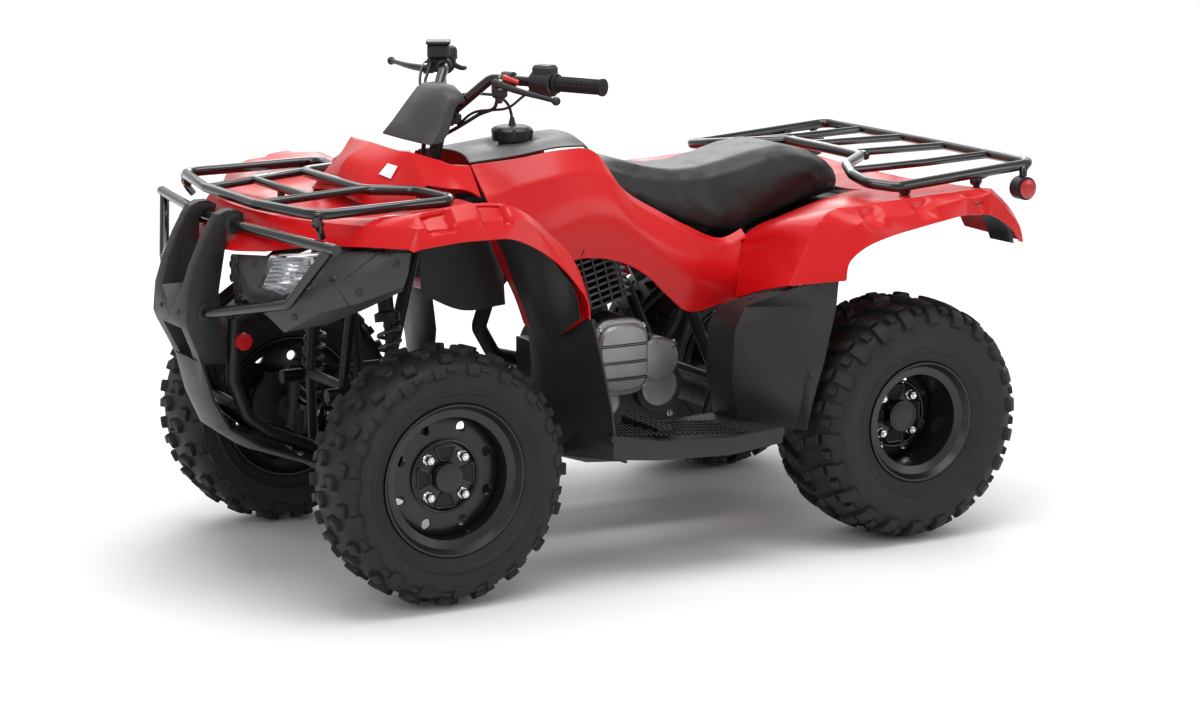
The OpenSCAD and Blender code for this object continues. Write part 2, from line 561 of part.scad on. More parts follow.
// ---- rear of the body ----------------------------------------------------------------------
module rear_fender() {
    pair() {
        skin([
            [[-262, 212, 524], [-256, 330, 560], [-252, 440, 592], [-329, 480, 612], [-355, 495, 614]],
            [[-276, 212, 600], [-280, 330, 640], [-290, 440, 660], [-346, 480, 643], [-370, 495, 637]],
            [[-292, 204, 652], [-300, 330, 700], [-318, 440, 708], [-366, 480, 676], [-390, 496, 655]],
            [[-340, 192, 674], [-360, 330, 722], [-350, 440, 737], [-385, 480, 706], [-412, 496, 667]],
            [[-430, 192, 703], [-430, 330, 741], [-425, 440, 744], [-418, 482, 723], [-463, 497, 683]],
            [[-531, 192, 727], [-530, 330, 748], [-530, 440, 750], [-510, 482, 722], [-540, 497, 697]],
            [[-640, 190, 735], [-640, 330, 750], [-640, 440, 755], [-603, 482, 737], [-610, 497, 708]],
            [[-740, 190, 738], [-740, 330, 750], [-735, 435, 758], [-700, 481, 752], [-660, 495, 715]],
            [[-785, 190, 742], [-785, 330, 748], [-780, 435, 756], [-748, 478, 756], [-725, 486, 716]],
            [[-832, 190, 708], [-832, 330, 708], [-830, 435, 710], [-799, 476, 708], [-768, 482, 698]],
            [[-862, 200, 668], [-862, 330, 668], [-860, 430, 670], [-833, 470, 672], [-812, 474, 668]],
            [[-876, 208, 636], [-876, 330, 634], [-874, 425, 634], [-848, 462, 638], [-835, 466, 642]],
        ], panel);
    }
    skin([
        both([[-610, 0, 728], [-610, 110, 728], [-610, 192, 733]]),
        both([[-740, 0, 732], [-740, 110, 732], [-740, 192, 738]]),
        both([[-785, 0, 738], [-785, 110, 738], [-785, 192, 742]]),
        both([[-832, 0, 704], [-832, 110, 704], [-832, 192, 708]]),
        both([[-850, 0, 660], [-850, 110, 662], [-862, 200, 668]]),
    ], panel);
    // narrow ledge under the seat's edge
    pair() skin([
        [[-292, 170, 640], [-292, 205, 652]],
        [[-340, 168, 668], [-340, 193, 674]],
        [[-430, 166, 690], [-430, 193, 703]],
        [[-531, 160, 716], [-531, 193, 727]],
        [[-612, 150, 728], [-612, 193, 733]],
    ], panel);
}
module tail_lights() pair() {
    rod(place([-876, 408, 752]), place([-876, 438, 752]), 26);
    rod(place([-876, 432, 752]), place([-876, 442, 752]), 22);
}
hitch_z = 300;
module hitch_plate() difference() {
    union() {
        block([-690, -42, hitch_z], [-600, 42, hitch_z + 10]);
        translate(place([-690, 0, hitch_z])) cylinder(r = 42, h = 10, $fn = 64);
        block([-612, -42, 236], [-599.3, 42, hitch_z + 10]);
    }
    translate(place([-690, 0, hitch_z - 5])) cylinder(r = 10, h = 20, $fn = 48);
}
// ---- wheels --------------------------------------------------------------------------------
// tyre section in (radius, width) from the bead round the tread
module tyre(w, rim) {
    r = tyre_radius;
    h = w / 2;
    b = rim + 0.3;
    rotate_extrude($fn = 128) polygon([
        [b, -h + 26], [b + 12, -h + 14], [b + 34, -h + 3], [b + (r - b) * 0.5, -h], [r - 34, -h + 3],
        [r - 10, -h + 12], [r - 3, -h + 30], [r, -h * 0.45], [r, h * 0.45], [r - 3, h - 30], [r - 10, h - 12],
        [r - 34, h - 3], [b + (r - b) * 0.5, h], [b + 34, h - 3], [b + 12, h - 14], [b, h - 26],
        [b + 4, h - 36], [b + 30, h - 22], [r - 40, h - 20], [r - 22, h - 40], [r - 22, -h + 40], [r - 40, -h + 20],
        [b + 30, -h + 22], [b + 4, -h + 36]]);
}
// barrel, disc and centre of a wheel; disc_y is how far the disc is outboard of the middle
module rim(w, rim_r, disc_y, hub_r, bore_r, hub_in, hub_out, drum) {
    h = w / 2;
    t = rim_wall;
    difference() {
        union() {
            rotate_extrude($fn = 128) polygon([
                [rim_r, h - 24], [rim_r, h - 20], [rim_r - t, h - 20], [rim_r - t - 9, h - 34],
                [rim_r - t - 26, h - 40], [rim_r - t - 26, -h + 44], [rim_r - t - 9, -h + 34],
                [rim_r - t, -h + 20], [rim_r, -h + 20], [rim_r, -h + 38], [rim_r - 8, -h + 40],
                [rim_r - 20, -h + 48], [rim_r - 20, h - 46], [rim_r - 8, h - 40], [rim_r, h - 38]]);
            translate([0, 0, disc_y]) rotate_extrude($fn = 128) polygon([
                [0, 0], [58, 0], [70, -8], [rim_r - 38, -8], [rim_r - 22, -18], [rim_r - 22, -10],
                [rim_r - 38, 0], [72, 2], [58, 8], [0, 8]]);
            translate([0, 0, hub_in]) cylinder(r = hub_r, h = hub_out - hub_in, $fn = 64);
            if (drum) translate([0, 0, disc_y - 44]) difference() {
                cylinder(r = 78, h = 45, $fn = 96);
                translate([0, 0, -1]) cylinder(r = 70, h = 40, $fn = 96);
            }
        }
        translate([0, 0, hub_in - 1]) cylinder(r = bore_r, h = hub_out - hub_in - 12, $fn = 64);
        for (k = [0:7]) rotate([0, 0, 45 * k + 22.5]) translate([rim_r - 52, 0, disc_y - 30])
            cylinder(r = 11, h = 60, $fn = 32);
    }
}
module left_front() translate([front_x, front_y, hub_z]) rotate([-90, 0, 0]) children();
module right_front() translate([front_x, -front_y, hub_z]) rotate([90, 0, 0]) children();
module left_rear() translate([rear_x, rear_y, hub_z]) rotate([-90, 0, 0]) children();
module right_rear() translate([rear_x, -rear_y, hub_z]) rotate([90, 0, 0]) children();
module front_rim() difference() {
    rim(front_tyre_width, front_rim_radius, 20, 30, spindle_radius + running_gap, -32, 46, true);
    translate([0, 0, 15]) cylinder(r = 22, h = 16, $fn = 64);
}
module rear_rim() difference() {
    rim(rear_tyre_width, rear_rim_radius, -6, 34, axle_radius + seat_gap, -64, 34, false);
}
module wheels_rear() {
    left_rear() rear_rim();
    right_rear() rear_rim();
}
module axle_rear() {
    rod([rear_x, -rear_y - 20, hub_z], [rear_x, rear_y + 20, hub_z], axle_radius);
    for (s = [-1, 1]) rod([rear_x, s * 168, hub_z], [rear_x, s * 176, hub_z], axle_radius + 10);
}

// ---- the pieces ----------------------------------------------------------------------------
dark = [0.16, 0.16, 0.17];
black = [0.08, 0.08, 0.08];
red = [0.75, 0.05, 0.05];
steel = [0.6, 0.6, 0.62];
in_frame() {
    color(black) frame();
    color(steel) swingarm();
    color(steel) rear_shock();
    color(steel) engine_case();
    color(dark) engine_cylinder();
    color(dark) exhaust();
    color(dark) front_bumper();
    color(black) brush_guard();
    color(black) front_rack();
    color(black) rear_rack();
    color(red) front_fender();
    color(dark) front_covers();
    color([0.9, 0.9, 0.9]) headlights();
    color(dark) tank_cover();
    color(black) fuel_cap();
    color(red) side_covers();
    color(black) seat();
    color(red) rear_fender();
    color(dark) footwell_left();
    color(dark) footwell_right();
    color([0.8, 0.1, 0.1]) tail_lights();
    color(black) suspension_arms();
    color(steel) front_shocks();
    color([0.8, 0.1, 0.1]) reflectors();
    color(black) hitch_plate();
    color(steel) foot_controls();
    color(steel) steering_bearings();
    color(black) steering_column();
    color(black) handlebar();
    color(black) grips();
    color(dark) handlebar_cover();
    color(dark) hand_controls();
    color(black) cables();
    color(steel) knuckle();  // knuckle_left
    color(steel) mirror([0, 1, 0]) knuckle();  // knuckle_right
    color(steel) tie_rod();  // tie_rod_left
    color(steel) mirror([0, 1, 0]) tie_rod();  // tie_rod_right
    color(black) left_front() tyre(front_tyre_width, front_rim_radius);  // tyre_front_left
    color(black) right_front() tyre(front_tyre_width, front_rim_radius);  // tyre_front_right
    color(dark) left_front() front_rim();  // wheel_front_left
    color(dark) right_front() front_rim();  // wheel_front_right
    color(black) left_rear() tyre(rear_tyre_width, rear_rim_radius);  // tyre_rear_left
    color(black) right_rear() tyre(rear_tyre_width, rear_rim_radius);  // tyre_rear_right
    color(dark) wheels_rear();
    color(steel) axle_rear();
}
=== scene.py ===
import bpy
import json
import math
import random
from mathutils import Matrix, Vector

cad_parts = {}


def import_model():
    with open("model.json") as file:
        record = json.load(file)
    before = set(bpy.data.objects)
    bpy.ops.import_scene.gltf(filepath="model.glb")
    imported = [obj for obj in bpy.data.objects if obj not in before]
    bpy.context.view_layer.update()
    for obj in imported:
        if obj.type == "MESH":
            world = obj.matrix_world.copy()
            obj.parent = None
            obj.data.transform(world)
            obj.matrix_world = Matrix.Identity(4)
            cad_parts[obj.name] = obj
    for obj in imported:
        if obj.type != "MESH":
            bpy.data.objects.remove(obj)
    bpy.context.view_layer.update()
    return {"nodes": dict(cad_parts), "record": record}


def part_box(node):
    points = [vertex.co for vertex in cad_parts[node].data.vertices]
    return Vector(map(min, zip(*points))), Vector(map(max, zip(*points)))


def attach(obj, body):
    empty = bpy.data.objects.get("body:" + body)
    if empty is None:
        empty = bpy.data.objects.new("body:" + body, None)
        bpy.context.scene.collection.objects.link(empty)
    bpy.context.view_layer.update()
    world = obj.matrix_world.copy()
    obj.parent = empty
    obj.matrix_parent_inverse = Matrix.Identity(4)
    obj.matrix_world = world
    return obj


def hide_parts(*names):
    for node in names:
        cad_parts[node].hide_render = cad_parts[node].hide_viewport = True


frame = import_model()
NODES = frame["nodes"]
random.seed(11)

# ---- frame: drawing millimetres (x from the middle of the wheelbase) to the row frame in metres ----
MID = 29.5
HALF_BASE = 565.0
TYRE_R = 268.0


def P(x, y, z):
    return Vector(((x - MID) / 1000, y / 1000, z / 1000))


def V3(p):
    return P(*p)


# ---- camera --------------------------------------------------------------------------------------
def look(location, target, roll=0.0):
    q = (Vector(target) - Vector(location)).to_track_quat("-Z", "Y")
    return q @ Matrix.Rotation(math.radians(roll), 4, "Z").to_quaternion()


target = Vector((-0.0389 - MID / 1000, 0, 0.3816))
el, az = math.radians(11.41), math.radians(150.56)
back = Vector((math.sin(az) * math.cos(el), -math.cos(az) * math.cos(el), math.sin(el)))
cam = bpy.data.objects.new("camera", bpy.data.cameras.new("camera"))
bpy.context.scene.collection.objects.link(cam)
cam.location = target + back * 7.056
cam.rotation_mode = "QUATERNION"
cam.rotation_quaternion = look(cam.location, target, 0.0)
cam.data.sensor_width = 36
cam.data.lens = 95.09
cam.data.clip_start = 0.1
cam.data.clip_end = 100
bpy.context.scene.camera = cam


# ---- materials -------------------------------------------------------------------------------------
def material(name, color, rough, metal=0.0, spec=0.5, coat=0.0, coat_rough=0.08, tint=0.06, tint_scale=7.0,
             rough_var=0.05, fine=None, coarse=None, cells=None, alpha=1.0, transmission=0.0, ior=1.5):
    m = bpy.data.materials.new(name)
    m.use_nodes = True
    nt = m.node_tree
    b = nt.nodes["Principled BSDF"]
    b.inputs["Metallic"].default_value = metal
    b.inputs["Specular IOR Level"].default_value = spec
    b.inputs["Coat Weight"].default_value = coat
    b.inputs["Coat Roughness"].default_value = coat_rough
    b.inputs["Transmission Weight"].default_value = transmission
    b.inputs["IOR"].default_value = ior
    b.inputs["Alpha"].default_value = alpha
    co = nt.nodes.new("ShaderNodeTexCoord").outputs["Object"]

    def noise_tex(scale, detail=3.0, rough_=0.55):
        n = nt.nodes.new("ShaderNodeTexNoise")
        n.inputs["Scale"].default_value = scale
        n.inputs["Detail"].default_value = detail
        n.inputs["Roughness"].default_value = rough_
        nt.links.new(co, n.inputs["Vector"])
        return n.outputs["Fac"]

    def spread(value, low, high, lo_in=0.3, hi_in=0.7):
        r = nt.nodes.new("ShaderNodeMapRange")
        r.inputs["From Min"].default_value = lo_in
        r.inputs["From Max"].default_value = hi_in
        r.inputs["To Min"].default_value = low
        r.inputs["To Max"].default_value = high
        nt.links.new(value, r.inputs["Value"])
        return r.outputs["Result"]

    broad = noise_tex(tint_scale, 4.0)
    mix = nt.nodes.new("ShaderNodeMix")
    mix.data_type = "RGBA"
    mix.inputs["A"].default_value = (*[c * (1 - tint) for c in color], 1)
    mix.inputs["B"].default_value = (*[min(1, c * (1 + tint)) for c in color], 1)
    nt.links.new(spread(broad, 0, 1), mix.inputs["Factor"])
    nt.links.new(mix.outputs["Result"], b.inputs["Base Color"])
    nt.links.new(spread(noise_tex(tint_scale * 2.3, 5.0), max(0.02, rough - rough_var), min(1, rough + rough_var)),
                 b.inputs["Roughness"])
    normal = None
    for kind, spec_ in (("noise", coarse), ("cells", cells), ("noise", fine)):
        if not spec_:
            continue
        scale, strength, distance = spec_
        if kind == "noise":
            height = noise_tex(scale, 2.0)
        else:
            v = nt.nodes.new("ShaderNodeTexVoronoi")
            v.feature = "DISTANCE_TO_EDGE"
            v.inputs["Scale"].default_value = scale
            nt.links.new(co, v.inputs["Vector"])
            height = spread(v.outputs["Distance"], 0, 1, 0.0, 0.18)
        bump = nt.nodes.new("ShaderNodeBump")
        bump.inputs["Strength"].default_value = strength
        bump.inputs["Distance"].default_value = distance
        nt.links.new(height, bump.inputs["Height"])
        if normal:
            nt.links.new(normal, bump.inputs["Normal"])
        normal = bump.outputs["Normal"]
    if normal:
        nt.links.new(normal, b.inputs["Normal"])
    return m


RED = material("red_plastic", (0.57, 0.003, 0.005), 0.34, spec=0.32, coat=0.14, coat_rough=0.10, tint=0.03,
               coarse=(18, 0.05, 0.002), fine=(420, 0.035, 0.0003), rough_var=0.04)
GREY = material("grey_plastic", (0.034, 0.034, 0.036), 0.44, spec=0.45, tint=0.08, fine=(1500, 0.28, 0.0003),
                coarse=(60, 0.04, 0.001))
BLACKP = material("bumper_plastic", (0.014, 0.014, 0.015), 0.45, spec=0.45, tint=0.08, fine=(1400, 0.30, 0.0003),
                  coarse=(50, 0.04, 0.001))
TUBE = material("tube_black", (0.004, 0.004, 0.004), 0.20, spec=0.5, coat=0.5, coat_rough=0.07, tint=0.1,
                fine=(300, 0.04, 0.0003))
FRAME = material("frame_paint", (0.006, 0.006, 0.006), 0.45, spec=0.4, tint=0.12, fine=(500, 0.08, 0.0004))
CAST = material("cast_grey", (0.030, 0.030, 0.032), 0.55, metal=0.4, tint=0.2, fine=(700, 0.35, 0.0006))
SHOCK = material("shock_steel", (0.10, 0.10, 0.105), 0.35, metal=0.7, tint=0.15, fine=(400, 0.06, 0.0003))
ALLOY = material("engine_alloy", (0.36, 0.36, 0.37), 0.42, metal=0.75, tint=0.10, fine=(900, 0.30, 0.0004),
                 coarse=(40, 0.06, 0.001))
CYL = material("cylinder_black", (0.10, 0.10, 0.104), 0.42, metal=0.6, tint=0.18, fine=(600, 0.2, 0.0005))
EXH = material("exhaust_black", (0.010, 0.010, 0.010), 0.55, metal=0.2, tint=0.2, fine=(500, 0.2, 0.0004))
STEEL = material("plain_steel", (0.42, 0.42, 0.43), 0.30, metal=1.0, tint=0.08, fine=(700, 0.10, 0.0003))
BRIGHT = material("bright_steel", (0.72, 0.72, 0.74), 0.20, metal=1.0, tint=0.05, fine=(900, 0.05, 0.0002))
VINYL = material("seat_vinyl", (0.010, 0.010, 0.010), 0.40, spec=0.45, tint=0.10, cells=(520, 0.25, 0.0005),
                 fine=(1400, 0.15, 0.0003), coarse=(14, 0.05, 0.002))
RUBBER = material("tyre", (0.012, 0.012, 0.0125), 0.60, spec=0.35, tint=0.18, tint_scale=11, fine=(900, 0.22, 0.0004),
                  coarse=(70, 0.10, 0.001))
GRIPM = material("grip_rubber", (0.007, 0.007, 0.007), 0.60, spec=0.35, tint=0.1, fine=(1200, 0.2, 0.0003))
CABLE = material("cable_rubber", (0.006, 0.006, 0.006), 0.45, tint=0.1, fine=(900, 0.1, 0.0002))
WHEEL = material("wheel_black", (0.007, 0.007, 0.007), 0.36, spec=0.45, coat=0.15, coat_rough=0.2, tint=0.1,
                 fine=(500, 0.08, 0.0003))
LENS = material("lamp_clear", (0.95, 0.96, 0.98), 0.04, spec=0.5, transmission=1.0, ior=1.35, tint=0.01,
                rough_var=0.02, coarse=(40, 0.05, 0.001))
REFL = material("lamp_reflector", (0.62, 0.63, 0.65), 0.22, metal=0.9, tint=0.05, coarse=(90, 0.25, 0.001))
LRED = material("lamp_red", (0.42, 0.004, 0.006), 0.16, spec=0.5, coat=0.6, coat_rough=0.05, tint=0.05,
                cells=(180, 0.25, 0.0006))
WHITE = material("blank_label", (0.78, 0.78, 0.78), 0.45, tint=0.03, fine=(900, 0.03, 0.0002))
# near-black matte: painted shade in the wheel windows, the bumper and vent holes, the recess round the side-panel
# lock, the engine-cover grooves and the grip ends; also the real dark seam line on the grey covers
SHADE_AND_SEAM = material("painted_shade_and_seam", (0.006, 0.006, 0.006), 0.75, tint=0.2, fine=(400, 0.1, 0.0005))
LOCK = material("lock_red", (0.50, 0.01, 0.01), 0.4, tint=0.06, fine=(900, 0.08, 0.0002))


# ---- mesh helpers ----------------------------------------------------------------------------------
def make(name, verts, faces, mat, body, smooth=True, split=38):
    me = bpy.data.meshes.new(name)
    me.from_pydata([tuple(v) for v in verts], [], faces)
    me.validate()
    me.materials.append(mat)
    for p in me.polygons:
        p.use_smooth = smooth
    if smooth:
        me.set_sharp_from_angle(angle=math.radians(split))
    o = bpy.data.objects.new(name, me)
    bpy.context.scene.collection.objects.link(o)
    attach(o, body)
    return o


class Bag:
    """verts and faces of several solids gathered into one piece"""

    def __init__(self):
        self.v, self.f = [], []

    def add(self, verts, faces, flip=False):
        n = len(self.v)
        self.v += [Vector(v) for v in verts]
        self.f += [tuple(n + i for i in (reversed(f) if flip else f)) for f in faces]

    def mirrored(self):
        n = len(self.v)
        k = len(self.f)
        self.v += [Vector((v.x, -v.y, v.z)) for v in self.v]
        self.f += [tuple(n + i for i in reversed(f)) for f in self.f[:k]]
        return self

    def make(self, name, mat, body, slot=None, smooth=True, split=38):
        return make(name, self.v, self.f, mat, body, smooth, split)


def basis(d):
    d = Vector(d).normalized()
    a = Vector((0, 0, 1)) if abs(d.z) < 0.9 else Vector((1, 0, 0))
    s = a.cross(d).normalized()
    return d, s, d.cross(s).normalized()


def turned(bag, p, d, profile, n=32, start=0.0, squash=1.0):
    """a solid of revolution about the axis p + t d from (t, r) pairs in mm; ends closed"""
    d, s, u = basis(d)
    p = Vector(p)
    verts, faces = [], []
    for t, r in profile:
        for k in range(n):
            a = start + 2 * math.pi * k / n
            verts.append(p + d * (t / 1000) + (s * math.cos(a) + u * (math.sin(a) * squash)) * (r / 1000))
    m = len(profile)
    for i in range(m - 1):
        for k in range(n):
            j = (k + 1) % n
            faces.append((i * n + k, i * n + j, (i + 1) * n + j, (i + 1) * n + k))
    faces.append(tuple(reversed(range(n))))
    faces.append(tuple((m - 1) * n + k for k in range(n)))
    bag.add(verts, faces)


def bolt(bag, p, d, r=6.0, h=5.0, washer=True, hexed=True):
    if washer:
        turned(bag, p, d, [(-1, r * 1.35), (0.9, r * 1.35), (1.3, r * 1.2)], 24)
    if hexed:
        turned(bag, p, d, [(0.5, r), (h * 0.85, r), (h, r * 0.86)], 6)
    else:
        turned(bag, p, d, [(0.5, r), (h * 0.5, r * 0.95), (h * 0.85, r * 0.65), (h, r * 0.25)], 24)


def smooth_path(pts, step=8.0):
    """Catmull-Rom points through pts (drawing mm)"""
    pts = [Vector(p) for p in pts]
    out = []
    for i in range(len(pts) - 1):
        p0 = pts[i - 1] if i else pts[0] * 2 - pts[1]
        p3 = pts[i + 2] if i + 2 < len(pts) else pts[-1] * 2 - pts[-2]
        p1, p2 = pts[i], pts[i + 1]
        n = max(1, round((p2 - p1).length / step))
        for k in range(n):
            t = k / n
            out.append(0.5 * ((2 * p1) + (p2 - p0) * t + (2 * p0 - 5 * p1 + 4 * p2 - p3) * t * t
                              + (3 * p1 - p0 - 3 * p2 + p3) * t ** 3))
    out.append(pts[-1])
    return out


def pipe(bag, pts, r, n=12, closed=False):
    """a round tube along points given in drawing mm"""
    w = [V3(p) for p in pts]
    m = len(w)
    dirs = []
    for i in range(m):
        a = w[i - 1] if i or closed else w[0]
        b = w[(i + 1) % m] if i < m - 1 or closed else w[-1]
        dirs.append((b - a).normalized())
    d, s, u = basis(dirs[0])
    verts, faces = [], []
    for i in range(m):
        s = (s - dirs[i] * s.dot(dirs[i])).normalized()
        u = dirs[i].cross(s)
        rr = r[i] if isinstance(r, (list, tuple)) else r
        for k in range(n):
            a = 2 * math.pi * k / n
            verts.append(w[i] + (s * math.cos(a) + u * math.sin(a)) * (rr / 1000))
    last = m if closed else m - 1
    for i in range(last):
        for k in range(n):
            j = (k + 1) % n
            i2 = (i + 1) % m
            faces.append((i * n + k, i * n + j, i2 * n + j, i2 * n + k))
    if not closed:
        faces.append(tuple(reversed(range(n))))
        faces.append(tuple((m - 1) * n + k for k in range(n)))
    bag.add(verts, faces)


def brick(bag, c, size, rot=None, chamfer=2.0):
    """a box with chamfered edges; centre in drawing mm, size in mm, rot a 3x3 matrix"""
    hx, hy, hz = [s / 2 for s in size]
    c0 = V3(c)
    k = min(chamfer, hx * 0.45, hy * 0.45, hz * 0.45)
    pts, idx = [], {}
    for sx in (-1, 1):
        for sy in (-1, 1):
            for sz in (-1, 1):
                for ax in range(3):
                    q = [sx * hx, sy * hy, sz * hz]
                    for o in range(3):
                        if o != ax:
                            q[o] -= (sx, sy, sz)[o] * k
                    idx[(sx, sy, sz, ax)] = len(pts)
                    v = Vector(q)
                    if rot is not None:
                        v = rot @ v
                    pts.append(c0 + v / 1000)
    faces = []
    for ax in range(3):
        a, b = (ax + 1) % 3, (ax + 2) % 3
        for s in (-1, 1):
            ring = []
            for sa, sb in ((-1, -1), (1, -1), (1, 1), (-1, 1)):
                key = [0, 0, 0]
                key[ax], key[a], key[b] = s, sa, sb
                ring.append(idx[(*key, ax)])
            faces.append(tuple(ring if s > 0 else reversed(ring)))
        for sa in (-1, 1):
            for sb in (-1, 1):
                q = []
                for s in (-1, 1):
                    key = [0, 0, 0]
                    key[ax], key[a], key[b] = s, sa, sb
                    q.append((idx[(*key, a)], idx[(*key, b)]))
                ring = [q[0][0], q[1][0], q[1][1], q[0][1]]
                faces.append(tuple(ring if sa * sb < 0 else reversed(ring)))
    for sx in (-1, 1):
        for sy in (-1, 1):
            for sz in (-1, 1):
                ring = [idx[(sx, sy, sz, ax)] for ax in range(3)]
                faces.append(tuple(ring if sx * sy * sz > 0 else reversed(ring)))
    bag.add(pts, faces)


def hermite(pts, counts, breaks):
    """points along a curve through pts, counts[i] steps in segment i, straight tangents at breaks"""
    m = len(pts)
    t = [0.0]
    for i in range(m - 1):
        t.append(t[-1] + max(1e-6, (pts[i + 1] - pts[i]).length))
    slope = [(pts[i + 1] - pts[i]) / (t[i + 1] - t[i]) for i in range(m - 1)]

    def tangent(i, side):
        if i == 0:
            return slope[0]
        if i == m - 1:
            return slope[-1]
        if i in breaks:
            return slope[i] if side else slope[i - 1]
        a, b = t[i] - t[i - 1], t[i + 1] - t[i]
        return (slope[i - 1] * b + slope[i] * a) / (a + b)

    out = []
    for i in range(m - 1):
        h = t[i + 1] - t[i]
        m0, m1 = tangent(i, 1) * h, tangent(i + 1, 0) * h
        for k in range(counts[i]):
            s = k / counts[i]
            s2, s3 = s * s, s * s * s
            out.append(pts[i] * (2 * s3 - 3 * s2 + 1) + m0 * (s3 - 2 * s2 + s)
                       + pts[i + 1] * (3 * s2 - 2 * s3) + m1 * (s3 - s2))
    out.append(pts[-1])
    return out


def dense(rows, step=10.0, rbreak=(), cbreak=(), rstep=None):
    """a finer grid through rows of points (drawing mm)"""
    g = [[Vector(p) for p in r] for r in rows]
    nr, nc = len(g), len(g[0])
    cc = [max(1, round(sum((r[j + 1] - r[j]).length for r in g) / nr / step)) for j in range(nc - 1)]
    g = [hermite(r, cc, cbreak) for r in g]
    nc = len(g[0])
    rc = [max(1, round(sum((g[i + 1][j] - g[i][j]).length for j in range(nc)) / nc / (rstep or step)))
          for i in range(nr - 1)]
    cols = [hermite([g[i][j] for i in range(nr)], rc, rbreak) for j in range(nc)]
    return [[cols[j][i] for j in range(nc)] for i in range(len(cols[0]))]


def both(half):
    return [(p[0], -p[1], p[2]) for p in reversed(half[1:])] + list(half)


def sheet(bag, grid, thick, flip=False):
    """a closed panel: grid of drawing-mm points is the outer face, the other lies thick behind it"""
    nr, nc = len(grid), len(grid[0])
    norm = []
    for i in range(nr):
        row = []
        for j in range(nc):
            a = grid[min(i + 1, nr - 1)][j] - grid[max(i - 1, 0)][j]
            b = grid[i][min(j + 1, nc - 1)] - grid[i][max(j - 1, 0)]
            n = a.cross(b)
            row.append(n.normalized() if n.length > 1e-9 else Vector((0, 0, 1)))
        norm.append(row)
    s = -1 if flip else 1
    top = [V3(p) for r in grid for p in r]
    low = [V3(grid[i][j] - norm[i][j] * (thick * s)) for i in range(nr) for j in range(nc)]
    n = nr * nc
    faces = []
    for i in range(nr - 1):
        for j in range(nc - 1):
            a, b, c, d = i * nc + j, (i + 1) * nc + j, (i + 1) * nc + j + 1, i * nc + j + 1
            faces.append((a, b, c, d))
            faces.append((n + a, n + d, n + c, n + b))
    for i in range(nr - 1):
        a, b = i * nc, (i + 1) * nc
        faces.append((a, n + a, n + b, b))
        a, b = i * nc + nc - 1, (i + 1) * nc + nc - 1
        faces.append((a, b, n + b, n + a))
    for j in range(nc - 1):
        faces.append((j, j + 1, n + j + 1, n + j))
        a = (nr - 1) * nc + j
        faces.append((a, n + a, n + a + 1, a + 1))
    bag.add(top + low, faces, flip)


def dent(grid, c, half, push, soft=0.45):
    """presses a trapezoid pocket into a grid: c centre, half the half sizes, push the depth vector"""
    c, push = Vector(c), Vector(push)
    for r in grid:
        for k, p in enumerate(r):
            w = 1.0
            for ax in range(3):
                if half[ax]:
                    w *= min(1.0, max(0.0, (1 - abs(p[ax] - c[ax]) / half[ax]) / soft))
            if w > 0:
                r[k] = p + push * w


def soften(o, width=1.5, angle=40, segments=2):
    b = o.modifiers.new("edge", "BEVEL")
    b.width = width / 1000
    b.segments = segments
    b.limit_method = "ANGLE"
    b.angle_limit = math.radians(angle)
    b.harden_normals = False
    return o


def dress(name, mat, angle=35, bevel=0.0):
    """material, smooth shading and soft edges on a CAD node; its mesh stays as packed"""
    o = NODES[name]
    me = o.data
    me.materials.clear()
    me.materials.append(mat)
    for att in ("custom_normal",):
        if att in me.attributes:
            me.attributes.remove(me.attributes[att])
    for p in me.polygons:
        p.material_index = 0
        p.use_smooth = True
    w = o.modifiers.new("weld", "WELD")
    w.merge_threshold = 2e-5
    if bevel:
        b = o.modifiers.new("edge", "BEVEL")
        b.width = bevel / 1000
        b.segments = 2
        b.limit_method = "ANGLE"
        b.angle_limit = math.radians(50)
    e = o.modifiers.new("split", "EDGE_SPLIT")
    e.split_angle = math.radians(angle)
    return o


# ---- CAD nodes that stay ---------------------------------------------------------------------------
for n, mat in {
    "frame": FRAME, "swingarm": CAST, "engine_case": CAST, "engine_cylinder": CYL, "exhaust": EXH,
    "brush_guard": TUBE, "front_rack": TUBE, "rear_rack": TUBE, "tail_lights": BLACKP, "suspension_arms": FRAME,
    "reflectors": LRED, "hitch_plate": FRAME, "foot_controls": FRAME, "steering_bearings": CAST,
    "steering_column": FRAME, "handlebar": TUBE, "cables": CABLE, "knuckle_left": CAST, "knuckle_right": CAST,
    "tie_rod_left": STEEL, "tie_rod_right": STEEL, "wheel_front_left": WHEEL, "wheel_front_right": WHEEL,
    "wheels_rear": WHEEL, "axle_rear": STEEL,
}.items():
    dress(n, mat)

BODY = {n: b for b, ns in frame["record"]["behaviour"]["bodies"].items() for n in ns}

# ---- tyres -----------------------------------------------------------------------------------------
R = TYRE_R


